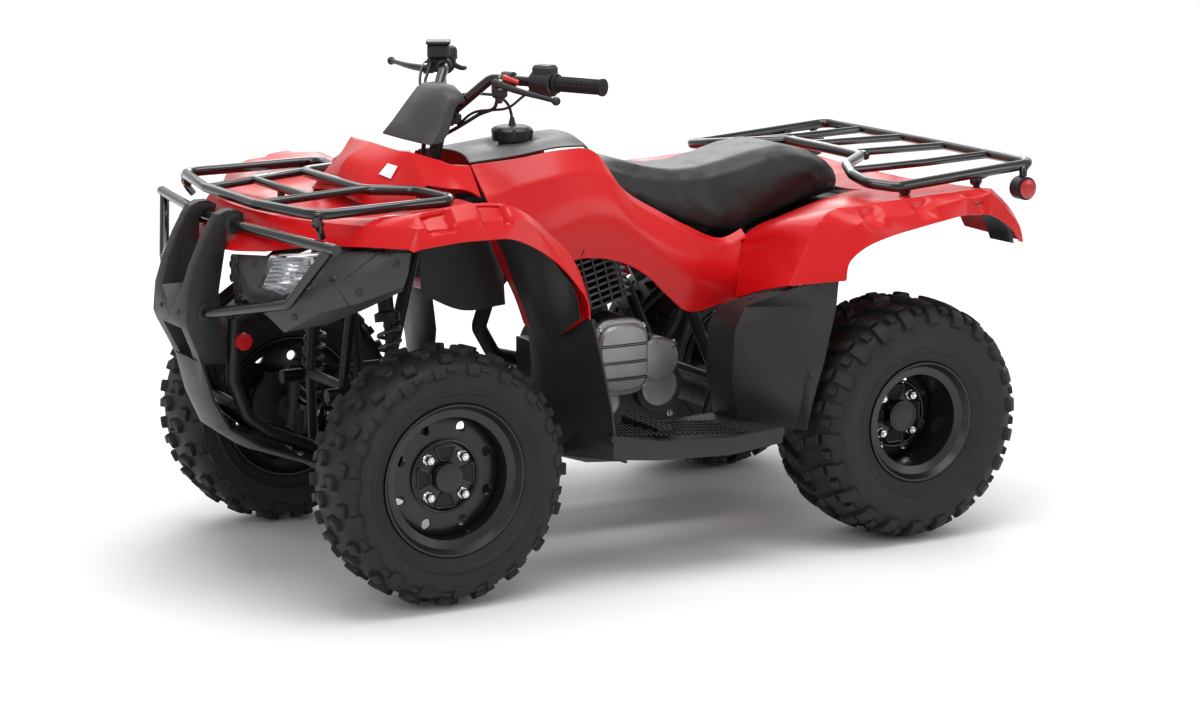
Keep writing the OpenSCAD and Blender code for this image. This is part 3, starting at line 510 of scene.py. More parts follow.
def tyre(name, node, cx, cy, width, rim, pattern):
    h = width / 2
    b = rim + 0.6
    half = [(R - 14, 0), (R - 15, h * 0.32), (R - 18, h * 0.55), (R - 24, h * 0.72), (R - 34, h * 0.87),
            (R - 50, h - 6), (b + (R - b) * 0.58, h - 3.0), (b + (R - b) * 0.5, h - 2.2),
            (b + (R - b) * 0.42, h - 3), (b + 33, h - 7), (b + 30, h - 5), (b + 26, h - 5.5), (b + 23, h - 9),
            (b + 12, h - 16), (b + 5, h - 20), (b, h - 25)]
    prof = [Vector((w, r)) for r, w in half]
    fine = []
    for i in range(len(prof) - 1):
        p0 = prof[i - 1] if i else Vector((-prof[1].x, prof[1].y))
        p3 = prof[i + 2] if i + 2 < len(prof) else prof[-1] * 2 - prof[-2]
        p1, p2 = prof[i], prof[i + 1]
        n = max(1, round((p2 - p1).length / 7))
        for k in range(n):
            t = k / n
            fine.append(0.5 * ((2 * p1) + (p2 - p0) * t + (2 * p0 - 5 * p1 + 4 * p2 - p3) * t * t
                               + (3 * p1 - p0 - 3 * p2 + p3) * t ** 3))
    fine.append(prof[-1])
    run = [0.0]
    for i in range(len(fine) - 1):
        run.append(run[-1] + (fine[i + 1] - fine[i]).length)

    def at(s):
        """profile point and outward normal at arc length s from the crown, outboard positive"""
        a = min(abs(s), run[-1] - 0.01)
        i = max(k for k in range(len(run) - 1) if run[k] <= a)
        f = (a - run[i]) / (run[i + 1] - run[i])
        p = fine[i].lerp(fine[i + 1], f)
        i0, i1 = max(0, i - 1), min(len(fine) - 1, i + 2)
        t = (fine[i1] - fine[i0]).normalized()
        n = Vector((-t.y, t.x))
        if a < 1e-6:
            n = Vector((0, 1))
        if n.x < 0 and n.y < 0.2:
            n = -n
        return (p, n) if s >= 0 else (Vector((-p.x, p.y)), Vector((-n.x, n.y)))

    out_side = 1 if cy > 0 else -1
    centre = Vector(((cx - MID), cy, R))

    def world(q, theta):
        return (centre + Vector((q.y * math.sin(theta), q.x * out_side, -q.y * math.cos(theta)))) / 1000

    loop = [Vector((-p.x, p.y)) for p in reversed(fine[1:])] + fine
    inner = [Vector((p.x * 0.9, p.y - 11 if p.y > b + 30 else p.y + 2)) for p in loop[2:-2]]
    section = loop + list(reversed(inner))
    n, m = 144, len(section)
    bag = Bag()
    verts = [world(q, 2 * math.pi * k / n) for k in range(n) for q in section]
    faces = []
    for k in range(n):
        k2 = (k + 1) % n
        for i in range(m):
            j = (i + 1) % m
            f = (k * m + i, k * m + j, k2 * m + j, k2 * m + i)
            faces.append(f if out_side > 0 else tuple(reversed(f)))
    bag.add(verts, faces)

    def lug(theta, corners, high, nx=3, ny=2, taper=1.6):
        """corners (s, c) anticlockwise, s along the section and c round the tyre, in mm"""
        mid = Vector((sum(c[0] for c in corners) / 4, sum(c[1] for c in corners) / 4))

        def ring(shrink, lift):
            cs = []
            for s, c in corners:
                v = Vector((s, c)) - mid
                v = v * max(0.2, 1 - shrink / max(v.length, 1e-3))
                cs.append(mid + v)
            g = []
            for i in range(nx + 1):
                for j in range(ny + 1):
                    a, c_ = i / nx, j / ny
                    q = (cs[0] * (1 - a) + cs[1] * a) * (1 - c_) + (cs[3] * (1 - a) + cs[2] * a) * c_
                    p, nrm = at(q.x)
                    e = lift
                    pr = p + nrm * e
                    if pr.y > R:
                        pr = pr - nrm * ((pr.y - R) / max(nrm.y, 0.3))
                    g.append(world(pr, theta + q.y / R))
            return g

        low, midr, top = ring(-1.5, -2.0), ring(0.3, high - taper), ring(taper + 0.4, high)
        st = (nx + 1) * (ny + 1)
        fs = []
        for i in range(nx):
            for j in range(ny):
                a = 2 * st + i * (ny + 1) + j
                fs.append((a, a + 1, a + ny + 2, a + ny + 1))
        rim_ = [i * (ny + 1) for i in range(nx + 1)] + [nx * (ny + 1) + j for j in range(1, ny + 1)] \
            + [i * (ny + 1) + ny for i in range(nx - 1, -1, -1)] + [j for j in range(ny - 1, 0, -1)]
        for lv in range(2):
            for k in range(len(rim_)):
                a, c_ = rim_[k], rim_[(k + 1) % len(rim_)]
                fs.append((lv * st + a, (lv + 1) * st + a, (lv + 1) * st + c_, lv * st + c_))
        bag.add(low + midr + top, fs, flip=out_side < 0)

    if pattern == "front":
        count = 19
        for k in range(count):
            for side in (-1, 1):
                t0 = 2 * math.pi * (k + (0.0 if side > 0 else 0.5)) / count
                q = lambda s, c: (s * side, c)
                for cs, high, nx, ny in (
                    ([q(5, -20), q(24, -5), q(15, 11), q(-2, -6)], 13, 3, 2),
                    ([q(24, -5), q(45, -18), q(47, 0), q(24, 11)], 13, 3, 2),
                    ([q(53, 17), q(70, 14), q(73, 40), q(54, 44)], 12, 3, 2),
                ):
                    lug(t0, cs if side > 0 else [cs[0], cs[3], cs[2], cs[1]], high, nx, ny)
                cs = [q(80, -16), q(112, -18), q(112, 16), q(80, 14)]
                lug(t0, cs if side > 0 else [cs[0], cs[3], cs[2], cs[1]], 4.6, 4, 3, 1.4)
                cs = [q(82, 20), q(94, 19), q(94, 42), q(82, 44)]
                lug(t0, cs if side > 0 else [cs[0], cs[3], cs[2], cs[1]], 2.6, 2, 2, 1.0)
    else:
        count = 22
        for k in range(count):
            for side in (-1, 1):
                t0 = 2 * math.pi * (k + (0.0 if side > 0 else 0.5)) / count
                q = lambda s, c: (s * side, c)
                for cs, high, nx, ny in (
                    ([q(4, -20), q(36, -4), q(34, 16), q(2, -1)], 13, 4, 2),
                    ([q(44, -2), q(82, 12), q(82, 36), q(42, 19)], 13, 5, 2),
                    ([q(90, 8), q(128, 4), q(128, 36), q(90, 38)], 11, 5, 3),
                    ([q(84, -24), q(104, -22), q(104, -4), q(84, -4)], 10, 3, 2),
                ):
                    lug(t0, cs if side > 0 else [cs[0], cs[3], cs[2], cs[1]], high, nx, ny, 2.0)
    o = bag.make(name, RUBBER, BODY[node], "tyre", split=32)
    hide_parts(node)
    return o


tyre("tread_front_left", "tyre_front_left", HALF_BASE, 405, 188, 157, "front")
tyre("tread_front_right", "tyre_front_right", HALF_BASE, -405, 188, 157, "front")
tyre("tread_rear_left", "tyre_rear_left", -HALF_BASE, 390, 246, 132, "rear")
tyre("tread_rear_right", "tyre_rear_right", -HALF_BASE, -390, 246, 132, "rear")

# ---- wheels: nuts, caps, ribs, valves ----------------------------------------------------------------
for tag, node, cx, cy, face, cap, rim in (
    ("front_left", "wheel_front_left", HALF_BASE, 405, 433, 451, 157),
    ("front_right", "wheel_front_right", HALF_BASE, -405, -433, -451, 157),
    ("rear_left", "axle_rear", -HALF_BASE, 390, 392, 424, 132),
    ("rear_right", "axle_rear", -HALF_BASE, -390, -392, -424, 132),
):
    s = 1 if cy > 0 else -1
    d = Vector((0, s, 0))
    nuts, trim, dark = Bag(), Bag(), Bag()
    for k in range(4):
        a = math.radians(45 + 90 * k)
        p = P(cx + 55 * math.sin(a), face, R + 55 * math.cos(a))
        turned(nuts, p, d, [(-1, 12), (1.5, 12), (3, 10.4)], 28)
        turned(nuts, p, d, [(1.0, 9.6), (13, 9.6), (15, 8.2)], 6)
        turned(nuts, p, d, [(12, 5.2), (19, 5.2), (20, 4.2)], 20)
        # raised webs, and dark slabs between them: painted shade standing in for the open windows of the wheel
        b = math.radians(90 * k)
        q = [(-0.30, 37), (0.30, 37), (0.34, 66), (-0.34, 66)]
        ring = [P(cx + r_ * math.sin(b + t), face + s * 0.6, R + r_ * math.cos(b + t)) for t, r_ in q]
        deep = [v - d * 0.003 for v in ring]
        fs = [(0, 1, 2, 3), (7, 6, 5, 4), (0, 4, 5, 1), (1, 5, 6, 2), (2, 6, 7, 3), (3, 7, 4, 0)]
        dark.add(ring + deep, fs, flip=s > 0)
        edge = [(cx + (r_ + e) * math.sin(b + t * f), face + s * 0.8, R + (r_ + e) * math.cos(b + t * f))
                for (t, r_), e, f in zip(q, (-2, -2, 2, 2), (1.06,) * 4)]
        pts = []
        for i in range(4):
            p0, p1 = Vector(edge[i]), Vector(edge[(i + 1) % 4])
            pts += [p0.lerp(p1, t) for t in (0.12, 0.3, 0.5, 0.7, 0.88)]
        pipe(trim, pts, 2.6, 8, closed=True)
    hub = P(cx, cap, R)
    turned(trim, hub - d * 0.012, d, [(0, 31.5), (10, 31.5), (13, 30), (14.5, 24), (15, 12)], 48)
    pts = [(cx + 74 * math.sin(t), face - s * 1.0, R + 74 * math.cos(t)) for t in
           [2 * math.pi * k / 64 for k in range(64)]]
    pipe(trim, pts, 2.8, 8, closed=True)
    # valve stem
    a = math.radians(200)
    rv = rim - 30
    p = P(cx + rv * math.sin(a), face - s * 14, R + rv * math.cos(a))
    turned(trim, p, d, [(-8, 5), (4, 4.6), (14, 3.4), (22, 3.4), (22.5, 4.2), (30, 4.0), (31, 3)], 16)
    body = BODY[node]
    nuts.make(f"lug_nuts_{tag}", BRIGHT, body, "plain_steel")
    trim.make(f"hub_trim_{tag}", WHEEL, body, "wheel_black")
    dark.make(f"hub_window_shade_{tag}", SHADE_AND_SEAM, body, "wheel_black", smooth=False)

# ---- front body ------------------------------------------------------------------------------------
nose = [
    both([(888, 0, 706), (884, 100, 709), (850, 200, 718)]),
    both([(825, 0, 782), (822, 100, 783), (798, 200, 780)]),
    both([(780, 0, 788), (778, 100, 788), (758, 200, 782)]),
    both([(690, 0, 772), (690, 110, 772), (680, 200, 778)]),
    both([(595, 0, 778), (595, 110, 778), (580, 200, 782)]),
    both([(480, 0, 790), (480, 110, 790), (470, 200, 786)]),
]
fender_rows = [
    [(850, 199, 718), (778, 292, 735), (720, 370, 741), (678, 440, 744), (662, 474, 746), (656, 486, 742)],
    [(798, 199, 780), (740, 292, 778), (694, 370, 779), (652, 440, 784), (640, 475, 784), (640, 487, 747)],
    [(758, 199, 782), (716, 292, 784), (670, 370, 790), (620, 448, 806), (608, 475, 789), (606, 488, 750)],
    [(680, 199, 778), (650, 292, 782), (600, 370, 796), (560, 450, 816), (560, 476, 790), (556, 489, 754)],
    [(580, 199, 782), (560, 292, 788), (520, 370, 804), (490, 454, 822), (494, 476, 793), (496, 489, 754)],
    [(470, 199, 786), (466, 292, 794), (452, 370, 806), (440, 454, 816), (432, 476, 790), (438, 488, 751)],
    [(400, 199, 786), (410, 292, 790), (405, 370, 796), (396, 454, 796), (394, 475, 778), (398, 486, 735)],
    [(352, 205, 716), (350, 292, 716), (350, 370, 722), (338, 454, 748), (345, 475, 728), (340, 486, 697)],
    [(316, 210, 636), (316, 292, 636), (314, 370, 640), (290, 454, 701), (297, 475, 671), (290, 486, 645)],
    [(288, 214, 575), (290, 292, 575), (294, 370, 580), (262, 454, 650), (268, 475, 635), (266, 488, 608)],
    [(268, 216, 518), (270, 292, 518), (272, 370, 521), (251, 454, 567), (255, 475, 572), (262, 488, 572)],
]
hump_rows = [
    [(604, -1, 800), (602, 110, 788), (580, 150, 780), (548, 186, 776)],
    [(574, -1, 860), (556, 110, 838), (536, 146, 828), (510, 180, 792)],
    [(515, -1, 892), (503, 110, 886), (495, 140, 888), (474, 176, 822)],
    [(458, -1, 868), (448, 96, 866), (430, 140, 866), (424, 180, 812)],
    [(412, -1, 850), (404, 88, 850), (390, 140, 852), (386, 186, 806)],
    [(402, 34, 848), (388, 92, 848), (355, 140, 849), (356, 190, 790)],
]
bag = Bag()
g = dense(fender_rows, 6, rbreak=(1,), cbreak=(3, 4))
for x, z in ((592, 802), (470, 808)):
    dent(g, (x, 466, z), (34, 24, 28), (0, -12, -11), 0.26)
sheet(bag, g, 3.5)
bag.mirrored()
g = dense(nose, 10, rbreak=(1,))
sheet(bag, g, 3.5)
hb = Bag()
g = dense(hump_rows, 9, rbreak=(2,), cbreak=(1, 2))
sheet(hb, g, 3.5)
hb.mirrored()
bag.add(hb.v, hb.f)
o = bag.make("front_body", RED, "chassis", "red_plastic", split=26)
soften(o, 1.4, 50)
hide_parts("front_fender")

# ---- grey covers beside the lamps --------------------------------------------------------------------
cover_rows = [
    [(880, 104, 702), (846, 200, 710), (776, 292, 727), (718, 370, 733), (674, 438, 736), (645, 452, 736)],
    [(884, 104, 655), (886, 200, 656), (872, 258, 657), (812, 345, 662), (760, 412, 677), (652, 452, 695)],
    [(872, 104, 622), (876, 200, 620), (850, 268, 600), (796, 345, 612), (742, 410, 636), (660, 448, 668)],
    [(846, 104, 600), (848, 205, 584), (836, 258, 560), (768, 330, 585), (715, 390, 620), (655, 430, 656)],
]
lens_front = [(857, 242, 718), (782, 318, 727), (828, 342, 662), (854, 300, 644), (892, 250, 654)]
lens_back = [(813, 227, 716), (738, 303, 725), (784, 327, 660), (810, 285, 642), (848, 235, 652)]
dress("front_covers", GREY, angle=24, bevel=2.0)
lens, dish = Bag(), Bag()
lf, lb = [V3(p) for p in lens_front], [V3(p) for p in lens_back]
fwd = (lf[0] - lb[0]).normalized()
cf = sum(lf, Vector()) / 5
n5 = len(lf)


def ringlet(scale, depth):
    return [cf + (p - cf) * scale + fwd * depth for p in lf]


rings = [ringlet(0.995, -0.028), ringlet(0.995, -0.003), ringlet(0.93, 0.003), ringlet(0.6, 0.006)]
vs = [v for r_ in rings for v in r_]
fs = [(i * n5 + k, i * n5 + (k + 1) % n5, (i + 1) * n5 + (k + 1) % n5, (i + 1) * n5 + k)
      for i in range(3) for k in range(n5)]
fs += [tuple(3 * n5 + k for k in range(n5))]
inner_rings = [ringlet(0.97, -0.028), ringlet(0.97, -0.005), ringlet(0.9, 0.0005), ringlet(0.6, 0.003)]
lens.add(vs, fs)
lens.add([v for r_ in inner_rings for v in r_], fs, flip=True)
lens.mirrored()
o = lens.make("headlight_lens", LENS, "chassis", "lamp_clear", split=50)
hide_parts("headlights")
dishes = [ringlet(0.96, -0.010), ringlet(0.80, -0.024), ringlet(0.45, -0.038), ringlet(0.15, -0.040)]
vs = [v for r_ in dishes for v in r_]
dish.add(vs, fs)
back_ = [ringlet(1.0, -0.010), ringlet(0.84, -0.027), ringlet(0.5, -0.041), ringlet(0.17, -0.043)]
dish.add([v for r_ in back_ for v in r_], fs, flip=True)
dish.mirrored()
dish.make("headlight_reflector", REFL, "chassis", "lamp_clear", split=30)
bulb = Bag()
turned(bulb, cf - fwd * 0.038, fwd, [(0, 10), (14, 10), (24, 8), (27, 3)], 24)
for k in range(7):
    f = (k + 1) / 8
    a = lf[0].lerp(lf[4], f) - fwd * 0.012
    b = lf[1].lerp(lf[2], f) - fwd * 0.012
    m = [a.lerp(b, t) for t in (0.04, 0.5, 0.96)]
    pipe(bulb, [(v.x * 1000 + MID, v.y * 1000, v.z * 1000) for v in m], 1.6, 6)
bulb.mirrored()
bulb.make("headlight_bulb", BRIGHT, "chassis", "lamp_clear")


def on_grid(rows, i, j):
    """point and outward normal at fractional row i and column j of a coarse grid"""
    i0, j0 = min(int(i), len(rows) - 2), min(int(j), len(rows[0]) - 2)
    a, b = i - i0, j - j0
    q = [Vector(rows[i0][j0]), Vector(rows[i0][j0 + 1]), Vector(rows[i0 + 1][j0]), Vector(rows[i0 + 1][j0 + 1])]
    p = (q[0] * (1 - b) + q[1] * b) * (1 - a) + (q[2] * (1 - b) + q[3] * b) * a
    du = (q[2] * (1 - b) + q[3] * b) - (q[0] * (1 - b) + q[1] * b)
    dv = (q[1] * (1 - a) + q[3] * a) - (q[0] * (1 - a) + q[2] * a)
    return p, du.cross(dv).normalized()


screws, seam, comb = Bag(), Bag(), Bag()
for i, j in ((0.35, 0.8), (0.75, 3.25), (2.2, 2.35), (0.45, 4.6), (1.5, 4.1)):
    p, nrm = on_grid(cover_rows, i, j)
    bolt(screws, V3(p + nrm * 0.5), nrm, 6.5, 3.5, True, False)
screws.mirrored()
screws.make("cover_screws", BLACKP, "chassis", "bumper_plastic")
pts = [on_grid(cover_rows, t, 3.55 + 0.1 * t) for t in (0.02, 0.4, 0.8, 1.2, 1.6, 2.0, 2.4, 2.98)]
pipe(seam, [p + nrm * 0.2 for p, nrm in pts], 1.3, 6)
seam.mirrored()
seam.make("cover_seam", SHADE_AND_SEAM, "chassis", "bumper_plastic")
# honeycomb vent beside the bumper
for r_ in range(6):
    for c_ in range(2):
        y = 112 + 15 * c_ + (7.5 if r_ % 2 else 0)
        z = 628 + r_ * 13.5
        x = 885.5 - max(0, 655 - z) * 0.30
        hexagon = [math.radians(60 * k) for k in range(6)]
        pipe(comb, [(x + 1.0, y + 8.4 * math.sin(a), z + 8.4 * math.cos(a)) for a in hexagon], 1.7, 6, closed=True)
comb.mirrored()
comb.make("vent_comb", GREY, "chassis", "grey_plastic")
# dark hexagons behind the comb: painted shade in the vent openings
vent_shade = Bag()
for r_ in range(6):
    for c_ in range(2):
        y = 112 + 15 * c_ + (7.5 if r_ % 2 else 0)
        z = 628 + r_ * 13.5
        x = 885.5 - max(0, 655 - z) * 0.30
        turned(vent_shade, P(x - 0.8, y, z), (1, 0, 0), [(-1, 7.4), (1.2, 7.4)], 6, start=0)
vent_shade.mirrored()
vent_shade.make("vent_hole_shade", SHADE_AND_SEAM, "chassis", "grey_plastic", smooth=False)

# ---- bumper ------------------------------------------------------------------------------------------
dress("front_bumper", BLACKP, angle=28, bevel=5.0)
hole_shade, guard_bolts = Bag(), Bag()
# dark discs on the bumper face: painted shade standing in for its two round holes
for s in (-1, 1):
    turned(hole_shade, P(977, s * 47, 578), (1, 0, 0), [(-4, 9), (1.4, 9), (1.6, 8)], 28)
hole_shade.make("bumper_hole_shade", SHADE_AND_SEAM, "chassis", "bumper_plastic")
for s in (-1, 1):
    turned(guard_bolts, P(868, s * 88.2, 760.5), (0, s, 0), [(-0.5, 21), (1.8, 21), (3, 19), (3.4, 13)], 40)
    turned(guard_bolts, P(936, s * 91.2, 583), (0, s, 0), [(-1, 18), (1.8, 18), (3, 16), (3.4, 12)], 40)
guard_bolts.make("guard_bosses", BLACKP, "chassis", "bumper_plastic")

# ---- middle ------------------------------------------------------------------------------------------
side_rows = [
    [(348, 130, 850), (342, 188, 786), (314, 222, 700), (296, 222, 640)],
    [(231, 132, 857), (225, 180, 810), (190, 214, 722), (190, 214, 640)],
    [(134, 132, 868), (120, 175, 820), (110, 205, 740), (99, 202, 643)],
    [(61, 130, 864), (40, 165, 812), (34, 200, 738), (26, 200, 628)],
    [(-8, 152, 776), (-14, 170, 755), (-30, 200, 690), (-37, 200, 595)],
    [(-100, 152, 720), (-100, 172, 702), (-98, 203, 640), (-95, 202, 541)],
    [(-166, 154, 685), (-166, 175, 667), (-160, 207, 600), (-133, 206, 509)],
    [(-262, 158, 651), (-268, 175, 640), (-256, 205, 580), (-240, 205, 517)],
    [(-306, 160, 668), (-306, 176, 657), (-292, 204, 596), (-268, 206, 519)],
]
bag = Bag()
g = dense(side_rows, 8, cbreak=(1,))
sheet(bag, g, 3.5)
bag.mirrored()
o = bag.make("side_panels", RED, "chassis", "red_plastic", split=26)
soften(o, 1.2, 50)
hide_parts("side_covers")
# dark dished disc round the lock: painted shade in the recess of the side panel
hole = Bag()
turned(hole, P(147, 203.0, 671), (0, 1, 0), [(-1, 33), (4.4, 33), (5.6, 31), (5.6, 26), (3.2, 25)], 48)
hole.mirrored()
hole.make("access_hole_shade", SHADE_AND_SEAM, "chassis", "grey_plastic")
hole = Bag()
turned(hole, P(147, 204, 671), (0, 1, 0), [(0, 15), (4.5, 15), (6, 13)], 32)
brick(hole, (147, 209, 660), (9, 3, 40))
hole.mirrored()
hole.make("access_lock", CAST, "chassis", "grey_plastic")

tank_rows = [
    both([(322, 0, 862), (328, 60, 860), (346, 122, 852)]),
    both([(231, 0, 866), (231, 62, 872), (231, 122, 860)]),
    both([(134, 0, 872), (134, 62, 880), (134, 120, 871)]),
    both([(61, 0, 888), (61, 55, 884), (63, 106, 868)]),
    both([(36, 0, 868), (36, 55, 866), (40, 94, 854)]),
]
bag = Bag()
g = dense(tank_rows, 8, rbreak=(3,))
for r_ in g:
    for k, p in enumerate(r_):
        d2 = math.hypot(p.x - 179, p.y)
        if d2 < 62:
            w = min(1.0, (62 - d2) / 16)
            r_[k] = p + Vector((0, 0, -7 * w * w * (3 - 2 * w)))
sheet(bag, g, 4.0)
o = bag.make("tank_top", GREY, "chassis", "grey_plastic", split=30)
soften(o, 1.5, 50)
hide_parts("tank_cover")
neck = Bag()
turned(neck, P(179, 0, 848), (0, 0, 1), [(0, 33), (20, 33), (22, 31), (29, 31)], 48)
neck.make("filler_neck", BLACKP, "chassis", "grey_plastic")
cap = Bag()
prof = [(0, 34), (2, 41), (24, 43), (30, 40), (33, 32), (33.5, 14)]
verts, faces, n = [], [], 96
for t, r_ in prof:
    for k in range(n):
        a = 2 * math.pi * k / n
        lobe = 0.5 + 0.5 * math.cos(8 * a)
        rr = r_ + (4.2 * lobe ** 0.6 if 1 < t < 30 else 0)
        verts.append(P(179 + rr * math.cos(a), rr * math.sin(a), 877.4 + t))
for i in range(len(prof) - 1):
    for k in range(n):
        j = (k + 1) % n
        faces.append((i * n + k, i * n + j, (i + 1) * n + j, (i + 1) * n + k))
faces += [tuple(reversed(range(n))), tuple((len(prof) - 1) * n + k for k in range(n))]
cap.add(verts, faces)
hose = smooth_path([(179, 0, 905), (180, 0, 930), (190, 0, 958), (215, 0, 976), (255, 0, 983), (304, 0, 984)], 6)
pipe(cap, hose, 3.4, 12)
turned(cap, P(179, 0, 908), (0, 0, 1), [(0, 8), (10, 7.5), (14, 5.5), (20, 5.2)], 24)
o = cap.make("filler_cap", BLACKP, "chassis", "bumper_plastic", split=40)
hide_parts("fuel_cap")

# ---- rear body ---------------------------------------------------------------------------------------
rear_rows = [
    [(-262, 212, 524), (-256, 330, 560), (-252, 440, 588), (-333, 485, 597), (-360, 497, 599)],
    [(-276, 212, 600), (-280, 330, 640), (-290, 440, 660), (-346, 480, 643), (-370, 495, 637)],
    [(-292, 204, 652), (-300, 330, 700), (-318, 440, 708), (-366, 480, 676), (-390, 496, 655)],
    [(-340, 192, 674), (-360, 330, 722), (-350, 440, 737), (-385, 480, 706), (-412, 496, 667)],
    [(-430, 192, 703), (-430, 330, 741), (-425, 440, 744), (-418, 482, 723), (-463, 497, 683)],
    [(-531, 192, 727), (-530, 330, 748), (-530, 440, 750), (-510, 482, 722), (-540, 497, 697)],
    [(-640, 190, 735), (-640, 330, 750), (-640, 440, 755), (-603, 482, 737), (-610, 497, 708)],
    [(-740, 190, 738), (-740, 330, 750), (-735, 435, 758), (-700, 481, 752), (-660, 495, 715)],
    [(-785, 190, 742), (-785, 330, 748), (-780, 435, 756), (-748, 478, 756), (-725, 486, 716)],
    [(-832, 190, 708), (-832, 330, 708), (-830, 435, 710), (-799, 476, 708), (-768, 482, 698)],
    [(-862, 200, 668), (-862, 330, 668), (-860, 430, 670), (-833, 470, 672), (-812, 474, 668)],
    [(-876, 208, 636), (-876, 330, 634), (-874, 425, 634), (-848, 462, 638), (-835, 466, 642)],
]
bag = Bag()
g = dense(rear_rows, 9, rbreak=(8,), cbreak=(2, 3))
for x in (-440, -575, -712):
    dent(g, (x, 470, 735), (30, 26, 30), (0, -9, -9), 0.5)
sheet(bag, g, 3.5)
ledge = [[(-292, 168, 640), (-292, 205, 652)], [(-340, 166, 668), (-340, 193, 674)],
         [(-430, 164, 690), (-430, 193, 703)],
         [(-531, 158, 716), (-531, 193, 727)], [(-612, 150, 728), (-612, 193, 733)]]
sheet(bag, dense(ledge, 9), 3.5)
bag.mirrored()
deck = [
    both([(-610, 0, 728), (-610, 110, 728), (-610, 192, 733)]),
    both([(-740, 0, 732), (-740, 110, 732), (-740, 192, 738)]),
    both([(-785, 0, 738), (-785, 110, 738), (-785, 192, 742)]),
    both([(-832, 0, 704), (-832, 110, 704), (-832, 192, 708)]),
    both([(-850, 0, 660), (-850, 110, 662), (-862, 200, 668)]),
]
sheet(bag, dense(deck, 10, rbreak=(2,)), 3.5)
o = bag.make("rear_body", RED, "chassis", "red_plastic", split=26)
soften(o, 1.4, 50)
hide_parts("rear_fender")

# dark sheets under the fenders: painted shade standing in for the shade inside the wheel arches; and the pan under
# the seat
shade_sheets_and_pan = Bag()


def under(rows, step, rb, cb, drop=19.0):
    g_ = dense(rows, step, rbreak=rb, cbreak=cb)
    out = []
    for i, r_ in enumerate(g_):
        a, b = g_[max(0, i - 1)], g_[min(len(g_) - 1, i + 1)]
        line = []
        for k, p_ in enumerate(r_):
            n_ = (b[k] - a[k]).cross(r_[min(len(r_) - 1, k + 1)] - r_[max(0, k - 1)])
            n_ = n_.normalized() if n_.length > 1e-6 else Vector((0, 0, 1))
            line.append(p_ - (n_ if n_.z > 0 else -n_) * drop)
        out.append(line)
    return out


sheet(shade_sheets_and_pan, under([r_[1:5] for r_ in fender_rows[1:]], 14, (), ()), 1.2)
sheet(shade_sheets_and_pan, under([r_[1:4] for r_ in rear_rows[1:]], 14, (), ()), 1.2)
sheet(shade_sheets_and_pan, dense([
    [(302, 196, 560), (312, 196, 660), (352, 196, 745), (400, 196, 776)],
    [(400, 196, 556), (402, 196, 656), (404, 196, 730), (440, 196, 776)],
    [(500, 196, 600), (500, 196, 670), (500, 196, 730), (500, 196, 772)],
], 14), 2.0)
sheet(shade_sheets_and_pan, dense([
    [(-264, 0, 596), (-264, 110, 596), (-264, 186, 600)],
    [(-292, 0, 628), (-292, 110, 628), (-292, 190, 632)],
    [(-340, 0, 652), (-340, 110, 652), (-340, 188, 658)],
    [(-430, 0, 678), (-430, 110, 678), (-430, 186, 690)],
    [(-531, 0, 702), (-531, 110, 702), (-531, 184, 716)],
    [(-612, 0, 716), (-612, 110, 716), (-612, 180, 724)],
], 12), 3.0)
shade_sheets_and_pan.mirrored()
shade_sheets_and_pan.make("fender_shade_and_seat_pan", BLACKP, "chassis", "bumper_plastic")

# footwells keep their CAD shape
dress("footwell_left", BLACKP, angle=24, bevel=4.0)
dress("footwell_right", BLACKP, angle=24, bevel=4.0)
dress("handlebar_cover", GREY, angle=28, bevel=3.0)

# ---- seat: cloth over its CAD form --------------------------------------------------------------------
src = NODES["seat"].data
seat_me = bpy.data.meshes.new("seat_pad")
vs = [v.co.copy() for v in src.vertices]
lo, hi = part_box("seat")
c = (lo + hi) / 2
vs = [Vector((c.x + (v.x - c.x) * 0.985, v.y * 0.955, v.z - 0.004)) for v in vs]
seat_me.from_pydata([tuple(v) for v in vs], [], [tuple(p.vertices) for p in src.polygons])
seat = bpy.data.objects.new("seat_pad", seat_me)
bpy.context.scene.collection.objects.link(seat)
bpy.context.view_layer.objects.active = seat
w = seat.modifiers.new("weld", "WELD")
w.merge_threshold = 2e-5
rm = seat.modifiers.new("remesh", "REMESH")
rm.mode = "VOXEL"
rm.voxel_size = 0.0062
dg = bpy.context.evaluated_depsgraph_get()
me2 = bpy.data.meshes.new_from_object(seat.evaluated_get(dg))
seat.modifiers.clear()
seat.data = me2
rest_co = [v.co.copy() for v in me2.vertices]
cl = seat.modifiers.new("cloth", "CLOTH")
st = cl.settings
st.quality = 6
st.mass = 0.25
st.tension_stiffness = 22
st.compression_stiffness = 22
st.shear_stiffness = 10
st.bending_stiffness = 2.5
st.use_pressure = True
st.uniform_pressure_force = 4.0
st.effector_weights.gravity = 0.0
cl.collision_settings.use_collision = False
cl.point_cache.frame_start = 1
cl.point_cache.frame_end = 20
sc = bpy.context.scene
sc.frame_start, sc.frame_end = 1, 20
for f in range(1, 21):
    sc.frame_set(f)
dg = bpy.context.evaluated_depsgraph_get()
moved = [v.co.copy() for v in seat.evaluated_get(dg).data.vertices]
seat.modifiers.clear()
for v, a, b in zip(seat.data.vertices, rest_co, moved):
    d = b - a
    if d.length > 0.009:
        d = d * (0.009 / d.length)
    v.co = a + d
sc.frame_set(1)
sm = seat.modifiers.new("relax", "SMOOTH")
sm.factor = 0.5
sm.iterations = 6
su = seat.modifiers.new("sub", "SUBSURF")
su.levels = su.render_levels = 1
dg = bpy.context.evaluated_depsgraph_get()
me3 = bpy.data.meshes.new_from_object(seat.evaluated_get(dg))
seat.modifiers.clear()
seat.data = me3
seat.data.materials.clear()
seat.data.materials.append(VINYL)
for p in seat.data.polygons:
    p.use_smooth = True
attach(seat, "chassis")
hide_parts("seat")


